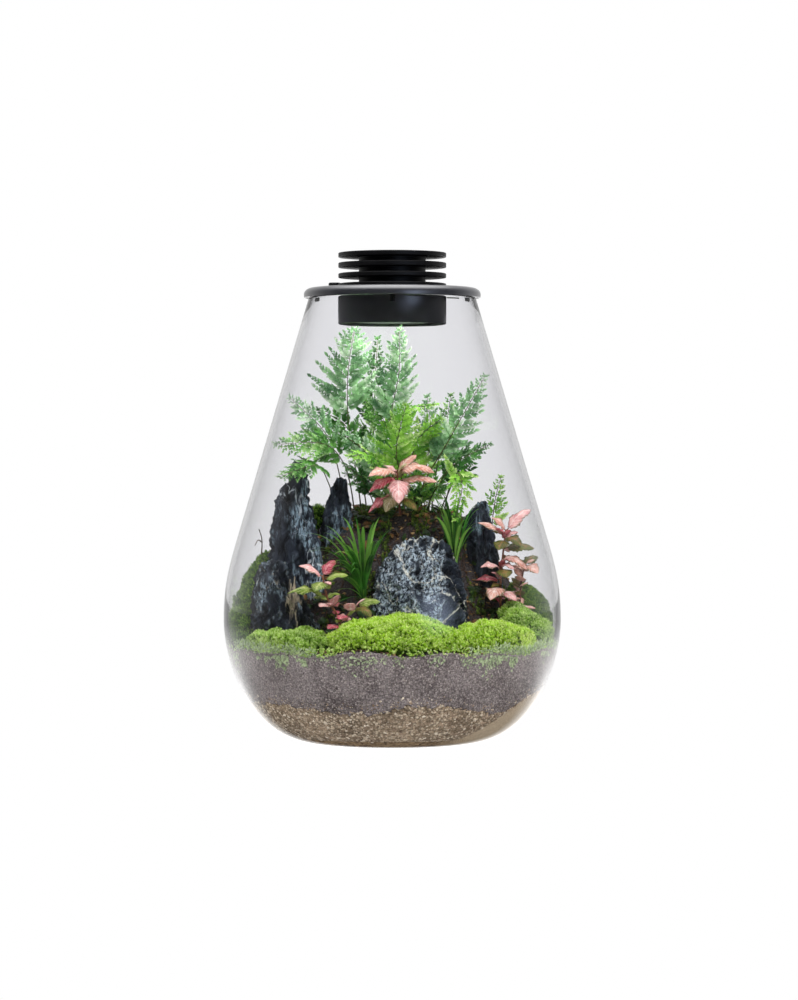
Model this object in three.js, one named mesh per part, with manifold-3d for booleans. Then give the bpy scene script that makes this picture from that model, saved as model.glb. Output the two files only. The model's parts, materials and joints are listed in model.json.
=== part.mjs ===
// A pear-shaped glass terrarium with a lamp in its lid, in millimetres, +Z up.
// The origin is the centre of the jar's base, and the front of the planting faces -Y.
import * as THREE from "three";
import { mergeVertices } from "three/addons/utils/BufferGeometryUtils.js";
import Module from "manifold-3d";

const wasm = await Module();
wasm.setup();

// Driving dimensions
const GAP = 0.3; // left between pieces that touch
const CLEAR = 0.5; // how much larger a sunk stone's or stem's seat is than the stone or stem
const JAR = {
  sides: 28,
  base: 56, // radius of the flat foot
  belly: 125,
  bellyHeight: 91.5,
  coneStart: 158.6, // where the shoulder turns into the straight upper wall
  coneRadius: 112.9,
  rim: 62.3,
  height: 330,
  wall: 3,
  floor: 5,
};
const LAMP = {
  sides: 20,
  lidRadius: 65.6,
  lidThickness: 6.7,
  stub: 20.2, // radius of the heat sink's neck, which passes through the lid
  plate: 40, // radius of the heat sink's base plate and fins
  core: 24.75,
  housing: 40.1,
  housingHeight: 20.4,
  lens: 37.6,
  lensThickness: 1.8,
  board: 17,
};
const LID_BOTTOM = JAR.height + GAP;
const LID_TOP = LID_BOTTOM + LAMP.lidThickness;
const PLATE_BOTTOM = LID_TOP + GAP;
const PLATE_TOP = PLATE_BOTTOM + 3;
const FINS = [
  [344.6, 347.8],
  [352.1, 355.7],
  [359.7, 363.1],
];
const SOIL_FRONT = 72; // height of the soil against the front glass
const HILL = 98; // how far the soil rises behind the stones
const ROOT_DEPTH = 8;
const ROCK_SIDES = 10;
const LEAF_HALF = 0.33; // half the thickness of a leaf blade
const STALK_HALF = 0.6; // half the width of a frond's stalk
const SWEEP = THREE.MathUtils.degToRad(36); // how far a side branch leans to the frond's tip
const STEM = 0.9; // radius of a nerve plant's stem
const STOCK = 3.4; // radius of a tuft's foot
const TWIG = 0.7;

const vec = (x, y, z) => new THREE.Vector3(x, y, z);
const up = vec(0, 0, 1);

function paint(color, roughness, metalness = 0) {
  return new THREE.MeshStandardMaterial({ color, roughness, metalness });
}

const paints = {
  glass: new THREE.MeshStandardMaterial({
    color: 0xeef4f5,
    roughness: 0.03,
    transparent: true,
    opacity: 0.25,
  }),
  black: paint(0x17191c, 0.42, 0.3),
  rubber: paint(0x202022, 0.8),
  lens: paint(0xdde8dd, 0.3),
  board: paint(0xe8e8e2, 0.5),
  steel: paint(0xb4b6ba, 0.3, 1),
  wire: paint(0x9c2a22, 0.5),
  sand: paint(0xc9b596, 0.9),
  gravel: paint(0xa8937a, 0.85),
  soil: paint(0x5b5049, 0.95),
  rock: paint(0x343a44, 0.75),
  moss: paint(0x8fbf2e, 0.9),
  darkMoss: paint(0x55782c, 0.9),
  fern: paint(0x5ea552, 0.6),
  grass: paint(0x2f6a22, 0.5),
  nerveLeaf: paint(0xd98a7c, 0.55),
  twig: paint(0x4a3a2c, 0.85),
};

const part = new THREE.Group();

// Solids

function solidOf(geometry) {
  const loose = geometry.index ? geometry.toNonIndexed() : geometry;
  const bare = new THREE.BufferGeometry();
  bare.setAttribute("position", loose.getAttribute("position"));
  const merged = mergeVertices(bare, 1e-3);
  const corners = merged.index.array;
  const faces = [];
  for (let i = 0; i < corners.length; i += 3) {
    const [a, b, c] = corners.slice(i, i + 3);
    if (a !== b && b !== c && c !== a) faces.push(a, b, c);
  }
  return new wasm.Manifold(
    new wasm.Mesh({
      numProp: 3,
      vertProperties: merged.attributes.position.array,
      triVerts: new Uint32Array(faces),
    }),
  );
}

function geometryOf(solid) {
  const { vertProperties, triVerts } = solid.getMesh();
  const geometry = new THREE.BufferGeometry();
  geometry.setAttribute("position", new THREE.BufferAttribute(vertProperties, 3));
  geometry.setIndex(new THREE.BufferAttribute(triVerts, 1));
  geometry.computeVertexNormals();
  return geometry;
}

function largest(solid) {
  return solid.decompose().reduce((a, b) => (b.volume() > a.volume() ? b : a));
}

function place(name, shape, material) {
  const geometry = shape.isBufferGeometry ? shape : geometryOf(shape);
  const mesh = new THREE.Mesh(geometry, material);
  mesh.name = name;
  part.add(mesh);
  return mesh;
}

// A closed surface from corner points and triangles.
function closed(points, faces) {
  const geometry = new THREE.BufferGeometry().setFromPoints(points);
  geometry.setIndex(faces.flat());
  return geometry;
}

function turned(profile, sides) {
  const points = profile.map(([r, z]) => new THREE.Vector2(r, z));
  return new THREE.LatheGeometry(points, sides).rotateX(Math.PI / 2);
}

function ring(profile, sides) {
  return turned([...profile, profile[0]], sides);
}

function upright(radius, bottom, top, sides, x = 0, y = 0) {
  return new THREE.CylinderGeometry(radius, radius, top - bottom, sides)
    .rotateX(Math.PI / 2)
    .translate(x, y, (top + bottom) / 2);
}

function curveOf(points) {
  return new THREE.CatmullRomCurve3(points);
}

function tube(extrudePath, radius, sides, steps) {
  const outline = new THREE.Shape();
  for (let i = 0; i < sides; i++) {
    const angle = (i / sides) * 2 * Math.PI;
    const corner = [radius * Math.cos(angle), radius * Math.sin(angle)];
    if (i) outline.lineTo(...corner);
    else outline.moveTo(...corner);
  }
  return new THREE.ExtrudeGeometry(outline, { steps, extrudePath });
}

function nearestOn(curves, place) {
  const points = curves.flatMap((curve) => curve.getSpacedPoints(80));
  return points.reduce((a, b) => (b.distanceTo(place) < a.distanceTo(place) ? b : a));
}

// A thin blade: the sheet's corners are moved half its thickness to each side, and its open
// edges are walled.
function plate(corners, faces) {
  const count = corners.length;
  const shifted = (sign) => corners.map((c) => c.at.clone().addScaledVector(c.normal, sign * c.half));
  const sides = faces.flatMap(([a, b, c]) => [
    [a, b, c],
    [a + count, c + count, b + count],
  ]);
  const edges = new Set(faces.flatMap(([a, b, c]) => [`${a},${b}`, `${b},${c}`, `${c},${a}`]));
  for (const edge of edges) {
    const [p, q] = edge.split(",").map(Number);
    if (!edges.has(`${q},${p}`)) sides.push([q, p, p + count], [q, p + count, q + count]);
  }
  return closed([...shifted(1), ...shifted(-1)], sides);
}

// Repeatable draws between -1 and 1.
function dice(seed) {
  let state = seed;
  return () => {
    state = (Math.imul(state, 1664525) + 1013904223) >>> 0;
    return (state / 2 ** 31) - 1;
  };
}

function smooth(from, to, value) {
  const t = THREE.MathUtils.clamp((value - from) / (to - from), 0, 1);
  return t * t * (3 - 2 * t);
}

// Glass jar

// The wall's line from the foot to the rim, moved inwards by the glass and a further distance.
function wallLine(inner, extra) {
  const flat = (x, y) => new THREE.Vector2(x, y);
  const heel = new THREE.CubicBezierCurve(
    flat(JAR.base, 0),
    flat(JAR.base + 50, 0),
    flat(JAR.belly, JAR.bellyHeight - 31),
    flat(JAR.belly, JAR.bellyHeight),
  );
  const slope = (JAR.coneRadius - JAR.rim) / (JAR.height - JAR.coneStart);
  const shoulder = new THREE.CubicBezierCurve(
    flat(JAR.belly, JAR.bellyHeight),
    flat(JAR.belly, JAR.bellyHeight + 27.6),
    flat(JAR.coneRadius + 25 * slope, JAR.coneStart - 25),
    flat(JAR.coneRadius, JAR.coneStart),
  );
  const cone = new THREE.LineCurve(
    flat(JAR.coneRadius, JAR.coneStart),
    flat(JAR.rim, JAR.height - JAR.wall / 2),
  );
  const points = [];
  const sample = (curve, t, glass) => {
    const at = curve.getPoint(t);
    const along = curve.getTangent(t);
    const inset = inner ? glass + extra : 0;
    points.push([at.x - along.y * inset, at.y + along.x * inset]);
  };
  const heelSteps = 6;
  for (let i = 0; i <= heelSteps; i++) {
    const t = i / heelSteps;
    sample(heel, t, THREE.MathUtils.lerp(JAR.floor, JAR.wall, t));
  }
  for (const t of [0.5, 1]) sample(shoulder, t, JAR.wall);
  sample(cone, 1, JAR.wall);
  return points;
}

function jarSolid() {
  const outside = wallLine(false, 0);
  const inside = wallLine(true, 0).reverse();
  const lip = [JAR.rim - JAR.wall / 2, JAR.height];
  return turned([[0, 0], ...outside, lip, ...inside, [0, JAR.floor]], JAR.sides);
}

// The room inside the glass, a gap clear of it.
function cavity() {
  const line = wallLine(true, GAP);
  const top = line[line.length - 1][1];
  return solidOf(turned([[0, JAR.floor + GAP], ...line, [0, top]], JAR.sides));
}

place("glass_jar", jarSolid(), paints.glass);

// Lid, lamp and heat sink

function lidSolid() {
  const edge = LAMP.lidRadius;
  const bore = LAMP.stub + 0.4;
  const profile = [
    [bore, LID_BOTTOM],
    [edge - 2.2, LID_BOTTOM],
    [edge - 1.7, LID_BOTTOM - 0.7],
    [edge, LID_BOTTOM - 0.1],
  ];
  for (let i = 0; i <= 3; i++) {
    const angle = (i / 3) * (Math.PI / 2);
    profile.push([edge - 6 + 6 * Math.cos(angle), LID_TOP - 5 + 5 * Math.sin(angle)]);
  }
  profile.push([bore, LID_TOP]);
  return ring(profile, LAMP.sides);
}

const housingBottom = JAR.height - LAMP.housingHeight;
const lensSeat = housingBottom + 3.7; // the step inside the housing that the lens rests against
const boardTop = 322;
const boardBottom = 320.3;
const screwCircle = 12;
const screwHole = 1.3;
const screwAngles = [90, 210, 330].map(THREE.MathUtils.degToRad);
const wireHeight = PLATE_BOTTOM + 1.5;
const wireTurn = vec(-13, 6, 0); // where the wire turns down inside the heat sink's neck
const inletPlace = vec(-43, 20, 0);

function heatSinkSolid() {
  const profile = [
    [0, boardTop + GAP],
    [LAMP.stub, boardTop + GAP],
    [LAMP.stub, PLATE_BOTTOM],
    [LAMP.plate, PLATE_BOTTOM],
    [LAMP.plate, PLATE_TOP],
    [LAMP.core, PLATE_TOP],
  ];
  for (const [low, high] of FINS) {
    profile.push([LAMP.core, low], [LAMP.plate, low], [LAMP.plate, high]);
    profile.push([high === FINS[2][1] ? 0 : LAMP.core, high]);
  }
  let solid = solidOf(turned(profile, LAMP.sides));
  const angle = Math.atan2(inletPlace.y - wireTurn.y, inletPlace.x - wireTurn.x);
  const grooveLength = 34;
  const groove = new THREE.BoxGeometry(grooveLength, 2.6, 4)
    .translate(grooveLength / 2, 0, 0)
    .rotateZ(angle)
    .translate(wireTurn.x, wireTurn.y, wireHeight - 0.9);
  solid = solid.subtract(solidOf(groove));
  const shaft = upright(1.4, boardTop - 1, wireHeight + 1, 8, wireTurn.x, wireTurn.y);
  solid = solid.subtract(solidOf(shaft));
  for (const a of screwAngles) {
    const [x, y] = [screwCircle * Math.cos(a), screwCircle * Math.sin(a)];
    solid = solid.subtract(solidOf(upright(screwHole, boardTop - 1, boardTop + 6, 6, x, y)));
  }
  return solid;
}

function housingSolid() {
  const top = JAR.height;
  const ceiling = top - 2.7;
  const inner = LAMP.lens - 1.6;
  const bore = LAMP.stub + GAP;
  return ring(
    [
      [bore, ceiling],
      [inner, ceiling],
      [inner, lensSeat],
      [LAMP.lens + GAP, lensSeat],
      [LAMP.lens + GAP, housingBottom],
      [LAMP.housing, housingBottom],
      [LAMP.housing, top],
      [bore, top],
    ],
    LAMP.sides,
  );
}

function boardSolid() {
  let solid = solidOf(upright(LAMP.board, boardBottom, boardTop, 16));
  for (const a of screwAngles) {
    const [x, y] = [screwCircle * Math.cos(a), screwCircle * Math.sin(a)];
    solid = solid.subtract(solidOf(upright(screwHole, boardBottom - 1, boardTop + 1, 6, x, y)));
  }
  return solid;
}

function screwSolid(x, y) {
  const head = boardBottom - GAP;
  const profile = [
    [0, head - 1.2],
    [1.8, head - 1.2],
    [2, head],
    [1, head],
    [1, boardTop + 5.5],
    [0, boardTop + 5.5],
  ];
  return turned(profile, 6).translate(x, y, 0);
}

// A low gland whose blind hole, on the outer side, takes the supply lead.
function inletSolid() {
  const body = turned(
    [
      [0, PLATE_BOTTOM],
      [4.6, PLATE_BOTTOM],
      [4.6, PLATE_BOTTOM + 3.6],
      [3.4, PLATE_BOTTOM + 4.8],
      [0, PLATE_BOTTOM + 4.8],
    ],
    12,
  );
  const wireHole = new THREE.CylinderGeometry(1, 1, 6, 6).rotateZ(Math.PI / 2);
  const leadHole = new THREE.CylinderGeometry(1.5, 1.5, 4, 8).rotateZ(Math.PI / 2);
  const solid = solidOf(body)
    .subtract(solidOf(wireHole.translate(4.5, 0, wireHeight)))
    .subtract(solidOf(leadHole.translate(-4.2, 0, PLATE_BOTTOM + 2.4)));
  const angle = Math.atan2(-inletPlace.y + wireTurn.y, -inletPlace.x + wireTurn.x);
  return geometryOf(solid).rotateZ(angle).translate(inletPlace.x, inletPlace.y, 0);
}

function wireSolid() {
  const start = inletPlace.clone().lerp(wireTurn, 0.08).setZ(wireHeight);
  const corner = wireTurn.clone().setZ(wireHeight);
  const before = inletPlace.clone().lerp(wireTurn, 0.96).setZ(wireHeight);
  const after = wireTurn.clone().setZ(wireHeight - 1.6);
  const end = wireTurn.clone().setZ(boardTop + GAP);
  corner.lerp(before, 0.3).setZ(wireHeight - 0.3);
  return tube(curveOf([start, before, corner, after, end]), 0.6, 5, 12);
}

place("lid", lidSolid(), paints.black);
place("heat_sink", heatSinkSolid(), paints.black);
place("lamp_housing", housingSolid(), paints.black);
const lensTop = lensSeat - GAP;
place("lamp_lens", upright(LAMP.lens, lensTop - LAMP.lensThickness, lensTop, LAMP.sides), paints.lens);
place("led_board", boardSolid(), paints.board);
screwAngles.forEach((a, i) => {
  const screw = screwSolid(screwCircle * Math.cos(a), screwCircle * Math.sin(a));
  place(`board_screw_${i + 1}`, screw, paints.steel);
});
place("power_inlet", inletSolid(), paints.black);
place("supply_wire", wireSolid(), paints.wire);

const pinHeight = 326;
const pinLength = 9.4;
const sidePin = new THREE.CylinderGeometry(0.8, 0.8, pinLength, 8)
  .rotateZ(Math.PI / 2)
  .translate(LAMP.housing + GAP + pinLength / 2, 0, pinHeight);
place("lamp_side_pin", sidePin, paints.black);

const pegCircle = 56;
const pegLength = 6;
for (let i = 0; i < 4; i++) {
  const angle = (i * Math.PI) / 2;
  const [x, y] = [pegCircle * Math.cos(angle), pegCircle * Math.sin(angle)];
  const peg = new THREE.CylinderGeometry(2, 1.6, pegLength, 8)
    .rotateX(Math.PI / 2)
    .translate(x, y, LID_BOTTOM - GAP - pegLength / 2);
  place(`lid_peg_${i + 1}`, peg, paints.rubber);
}

// Sand, gravel and soil, each a height over the plan, cut to the jar

const room = cavity();

function sandTop(x, y) {
  const heap = smooth(38, 108, x) * Math.exp(-(((y + 12) / 85) ** 4));
  return JAR.floor + 2.3 + 33 * heap;
}

function gravelTop(x, y) {
  return 31 + 2 * Math.sin(x / 17) + 1.5 * Math.cos(y / 14 + x / 29);
}

function soilTop(x, y) {
  const across = Math.exp(-(Math.abs((x + 4) / 98) ** 5));
  const right = smooth(40, 75, x); // to both sides the ground rises further back
  const left = smooth(30, 55, -x);
  const rise = smooth(-60 + 5 * right + 15 * left, 20 + 40 * right + 10 * left, y);
  const back = 1 - 0.46 * smooth(45, 120, y);
  const bumps = 1.2 * Math.sin(x / 9 + y / 13) + 0.8 * Math.cos(x / 15 - y / 8);
  return SOIL_FRONT + HILL * across * rise * back + bumps;
}

function under(height, cells) {
  const width = 2 * JAR.belly + 10;
  const box = new THREE.BoxGeometry(width, width, 2, cells, cells, 1);
  const points = box.getAttribute("position");
  for (let i = 0; i < points.count; i++) {
    const top = points.getZ(i) > 0;
    points.setZ(i, top ? height(points.getX(i), points.getY(i)) : -5);
  }
  return solidOf(box);
}

const layerCells = 7;
const soilCells = 10;
const layersTop = (x, y) => Math.max(sandTop(x, y), gravelTop(x, y)) + GAP;
const sand = room.intersect(under(sandTop, layerCells));
const overSand = under((x, y) => sandTop(x, y) + GAP, layerCells);
const gravel = largest(room.intersect(under(gravelTop, layerCells)).subtract(overSand));
const overSoil = under((x, y) => soilTop(x, y) + GAP, soilCells);
let soil = room.intersect(under(soilTop, soilCells)).subtract(under(layersTop, layerCells));

// Stones, as level outlines from the bottom up: [z, x, y, half width, half depth]

const stones = {
  spire_rock: {
    seed: 3,
    levels: [
      [92, -67, -1, 24, 15],
      [118, -68, -1, 22, 14],
      [148, -72, 0, 18, 13],
      [170, -74, 1, 15.5, 11],
      [187, -74, 3, 11, 8],
      [190, -69.5, 3, 7.5, 7],
      [206, -70, 4, 5.5, 5],
    ],
  },
  low_rock: {
    seed: 8,
    levels: [
      [72, -76, -44, 26, 15],
      [88, -76, -44, 26, 15],
      [103, -79, -43, 22, 13],
      [120, -83, -42, 16, 12],
      [135, -86, -41, 9, 8],
    ],
  },
  back_spire_rock: {
    seed: 5,
    levels: [
      [118, -37, 10, 17, 11],
      [140, -38, 10, 16, 10],
      [162, -41, 10, 13, 9],
      [180, -41, 11, 9.5, 7],
      [198, -37.5, 12, 3, 3],
    ],
  },
  boulder: {
    seed: 11,
    levels: [
      [74, 24, -36, 36, 20],
      [92, 24, -36, 37, 22],
      [112, 23, -34, 37, 21],
      [130, 20, -30, 34, 19],
      [143, 23, -25, 26, 13],
      [151, 25, -22, 17, 7],
    ],
  },
  slate_rock: {
    seed: 17,
    levels: [
      [112, 66, 12, 18, 9],
      [140, 66, 12, 16.5, 9],
      [158, 63, 13, 12.5, 7],
      [170, 65, 14, 8.5, 6],
      [178, 67, 15, 3.5, 3],
    ],
  },
};

function stoneSolid({ seed, levels }, grow = 0) {
  const draw = dice(seed);
  const flutes = Array.from({ length: ROCK_SIDES }, () => 1 + 0.17 * draw());
  const last = levels.length - 1;
  const points = [];
  levels.forEach(([z, x, y, rx, ry], level) => {
    const lift = level === last ? grow : level ? 0 : -grow;
    flutes.forEach((flute, i) => {
      const angle = ((i + 0.3 * draw()) / ROCK_SIDES) * 2 * Math.PI;
      const reach = flute * (1 + 0.09 * draw());
      const chip = level ? 1.6 * draw() : 0;
      const [dx, dy] = [Math.cos(angle), Math.sin(angle)];
      points.push(vec(x + (rx * reach + grow) * dx, y + (ry * reach + grow) * dy, z + chip + lift));
    });
  });
  const faces = [];
  for (let level = 0; level < last; level++) {
    for (let i = 0; i < ROCK_SIDES; i++) {
      const a = level * ROCK_SIDES + i;
      const b = level * ROCK_SIDES + ((i + 1) % ROCK_SIDES);
      faces.push([a, b, b + ROCK_SIDES], [a, b + ROCK_SIDES, a + ROCK_SIDES]);
    }
  }
  const [bottom, top] = [levels[0], levels[last]];
  points.push(vec(bottom[1], bottom[2], bottom[0] - grow), vec(top[1], top[2], top[0] + 1 + grow));
  const [low, high] = [points.length - 2, points.length - 1];
  for (let i = 0; i < ROCK_SIDES; i++) {
    const next = (i + 1) % ROCK_SIDES;
    faces.push([low, next, i]);
    faces.push([high, last * ROCK_SIDES + i, last * ROCK_SIDES + next]);
  }
  return solidOf(closed(points, faces));
}

const seats = Object.values(stones).map((stone) => stoneSolid(stone, CLEAR));
Object.entries(stones).forEach(([name, stone], i) => {
  let solid = stoneSolid(stone);
  for (const earlier of seats.slice(0, i)) solid = solid.subtract(earlier);
  place(name, largest(solid), paints.rock);
});
for (const seat of seats) soil = soil.subtract(seat);

// Ferns. A frond's stalk leaves the soil at root and passes through via to tip; its blade starts
// at the share from of that way, and its upper side looks towards face.

const fronds = [
  { root: [-24, 31], via: [[-28, 26, 205], [-33, 18, 240], [-33, 12, 275]], tip: [-28, 4, 307],
    from: 0.55, width: 25, pairs: 7, face: [0.1, -1, 0.25] },
  { root: [2, 27], via: [[1, 20, 205], [-1, 8, 240], [5, -4, 275]], tip: [5, -18, 306],
    from: 0.52, width: 19, pairs: 7, face: [0.45, -1, 0.2] },
  { root: [-12, 40], via: [[-14, 37, 220], [-13, 33, 265]], tip: [-11, 29, 301],
    from: 0.52, width: 11, pairs: 5, face: [0, -1, 0.1] },
  { root: [-36, 30], via: [[-40, 24, 200], [-49, 10, 228]], tip: [-76, -6, 256],
    from: 0.5, width: 15, pairs: 5, face: [0.25, -1, 0.6] },
  { root: [-29, 24], via: [[-36, 17, 206], [-50, 0, 221]], tip: [-86, -14, 221],
    from: 0.45, width: 16, pairs: 6, face: [0, -1, 0.5] },
  { root: [-43, 26], via: [[-48, 15, 193], [-56, -8, 205]], tip: [-82, -38, 197],
    from: 0.48, width: 13, pairs: 5, face: [0, -0.8, 0.8] },
  { root: [-20, 38], via: [[-26, 34, 205], [-36, 32, 236]], tip: [-63, 30, 249],
    from: 0.5, width: 12, pairs: 5, face: [0.1, -1, 0.5] },
  { root: [9, 19], via: [[7, 8, 195], [3, -8, 216]], tip: [10, -30, 250],
    from: 0.45, width: 18, pairs: 5, face: [-0.1, -1, 0.35] },
  { root: [9, 36], via: [[7, 30, 215], [8, 22, 244]], tip: [34, 2, 251],
    from: 0.55, width: 11, pairs: 4, face: [0.1, -0.6, 0.9] },
  { root: [22, 30], via: [[25, 24, 200], [29, 17, 228]], tip: [26, 10, 257],
    from: 0.45, width: 13, pairs: 5, face: [0, -1, 0.2] },
  { root: [30, 36], via: [[34, 32, 205], [40, 28, 232]], tip: [44, 22, 258],
    from: 0.5, width: 11, pairs: 4, face: [0.1, -1, 0.2] },
  { root: [18, 21], via: [[25, 14, 195], [38, 6, 217], [51, 2, 240]], tip: [69, -2, 272],
    from: 0.42, width: 16, pairs: 6, face: [-0.1, -1, 0.25] },
  { root: [27, 18], via: [[35, 6, 192], [47, -8, 207]], tip: [72, -18, 221],
    from: 0.5, width: 11, pairs: 5, face: [0, -0.8, 0.8] },
  { root: [36, 10], via: [[42, -6, 186], [48, -22, 200], [51, -33, 190]], tip: [46, -40, 166],
    from: 0.5, width: 11, pairs: 5, face: [0.2, -1, 0.5] },
  { root: [40, 28], via: [[45, 22, 195], [53, 16, 209]], tip: [69, 9, 221],
    from: 0.4, width: 12, pairs: 5, face: [0, -0.8, 0.6] },
  { root: [-14, 23], via: [[-18, 13, 186], [-25, 4, 198]], tip: [-36, -8, 206],
    from: 0.45, width: 11, pairs: 4, face: [0, -0.7, 0.7] },
  { root: [75, 28], via: [[75, 25, 158], [77, 19, 178]], tip: [81, 6, 197],
    from: 0.45, width: 9, pairs: 4, face: [0, -1, 0.4] },
  { root: [-3, 20], via: [[-6, 11, 195], [-15, -6, 212]], tip: [-33, -22, 212],
    from: 0.45, width: 13, pairs: 5, face: [0, -0.8, 0.9] },
  { root: [-10, 52], via: [[-12, 57, 205], [-16, 64, 228]], tip: [-26, 77, 236],
    from: 0.42, width: 17, pairs: 5, face: [0, 0.9, 0.6] },
  { root: [22, 50], via: [[25, 55, 200], [30, 62, 222]], tip: [45, 70, 231],
    from: 0.42, width: 15, pairs: 5, face: [0.2, 0.9, 0.6] },
];

const stems = []; // where something grows out of the soil, and how thick it is there

function frameAt(curve, t, face) {
  const along = curve.getTangentAt(t);
  const normal = face.clone().addScaledVector(along, -face.dot(along)).normalize();
  return { at: curve.getPointAt(t), along, normal, side: along.clone().cross(normal) };
}

function frondSolid({ root: [x, y], via, tip, from, width, pairs, face }) {
  const ground = soilTop(x, y);
  stems.push([x, y, STALK_HALF * 1.42]);
  const curve = new THREE.CatmullRomCurve3(
    [vec(x, y, ground - ROOT_DEPTH), vec(x, y, ground + 6), ...via.map((p) => vec(...p)), vec(...tip)],
    false,
    "centripetal",
  );
  const looks = vec(...face);
  const length = curve.getLength() * (1 - from);
  const step = (1 - from) / (pairs + 0.6);
  const corners = [];
  const faces = [];
  const corner = (at, normal, half) => corners.push({ at, normal, half }) - 1;
  const quad = (a, b, c, d, sign) => {
    if (sign > 0) faces.push([a, b, c], [a, c, d]);
    else faces.push([c, b, a], [d, c, a]);
  };

  const rib = (t, half) => {
    const frame = frameAt(curve, t, looks);
    const { at, side, normal } = frame;
    const edge = (sign) => corner(at.clone().addScaledVector(side, sign * half), normal, half);
    return { ...frame, [-1]: edge(-1), [1]: edge(1) };
  };

  // One side branch: a blade with a lobe on both edges at each step, cut in between to its rib.
  const branch = (low, high, sign, reach) => {
    const sideways = low.side.clone().multiplyScalar(sign);
    const outwards = sideways.clone().multiplyScalar(Math.cos(SWEEP));
    outwards.addScaledVector(low.along, Math.sin(SWEEP));
    const across = low.along.clone().multiplyScalar(Math.cos(SWEEP));
    across.addScaledVector(sideways, -Math.sin(SWEEP));
    const start = corners[low[sign]].at.clone().lerp(corners[high[sign]].at, 0.5);
    const spread = 0.45 * Math.cos(SWEEP) * (length / (pairs + 0.6)) - 0.2;
    const point = (distance, offset) => {
      const at = start.clone().addScaledVector(outwards, distance);
      at.addScaledVector(across, offset);
      at.addScaledVector(low.normal, (-0.22 * distance ** 2) / reach);
      return corner(at, low.normal, LEAF_HALF);
    };
    const lobes = reach > 22 ? 3 : reach > 10 ? 2 : 1;
    let [trail, lead] = [low[sign], high[sign]];
    const pair = (distance, half) => {
      const [nextTrail, nextLead] = [point(distance, -half), point(distance, half)];
      quad(trail, nextTrail, nextLead, lead, sign);
      [trail, lead] = [nextTrail, nextLead];
    };
    for (let i = 0; i < lobes; i++) {
      const centre = (i + 0.55) / (lobes + 0.35);
      pair(reach * centre, spread * (1 - 0.45 * centre));
      if (i < lobes - 1) pair(reach * ((i + 0.95) / (lobes + 0.35)), 0.4 * spread);
    }
    const end = point(reach, 0.3);
    if (sign > 0) faces.push([trail, end, lead]);
    else faces.push([lead, end, trail]);
  };

  let last = rib(0, STALK_HALF);
  const climb = (next) => {
    quad(last[-1], last[1], next[1], next[-1], 1);
    last = next;
  };
  for (let i = 1; i <= 3; i++) climb(rib((from * i) / 3.3, STALK_HALF));
  const rootHalf = Math.min(0.9, 0.2 * (length / pairs)) / curve.getLength();
  for (let i = 0; i < pairs; i++) {
    const middle = from + step * (i + 0.5);
    const low = rib(middle - rootHalf, 0.5);
    climb(low);
    const high = rib(middle + rootHalf, 0.5);
    climb(high);
    const share = (i + 0.5) / pairs;
    const reach = (width / Math.cos(SWEEP)) * Math.min(1, 0.85 + 1.6 * share) * (1 - share) ** 0.8;
    for (const sign of [-1, 1]) branch(low, high, sign, Math.max(reach, 2.5));
  }
  const { at, normal } = frameAt(curve, 1, looks);
  faces.push([last[-1], last[1], corner(at, normal, LEAF_HALF)]);
  return plate(corners, faces);
}

fronds.forEach((frond, i) => place(`frond_${i + 1}`, frondSolid(frond), paints.fern));

// Nerve plants: rooted stems, and leaves as [from, tip, half width]

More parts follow.
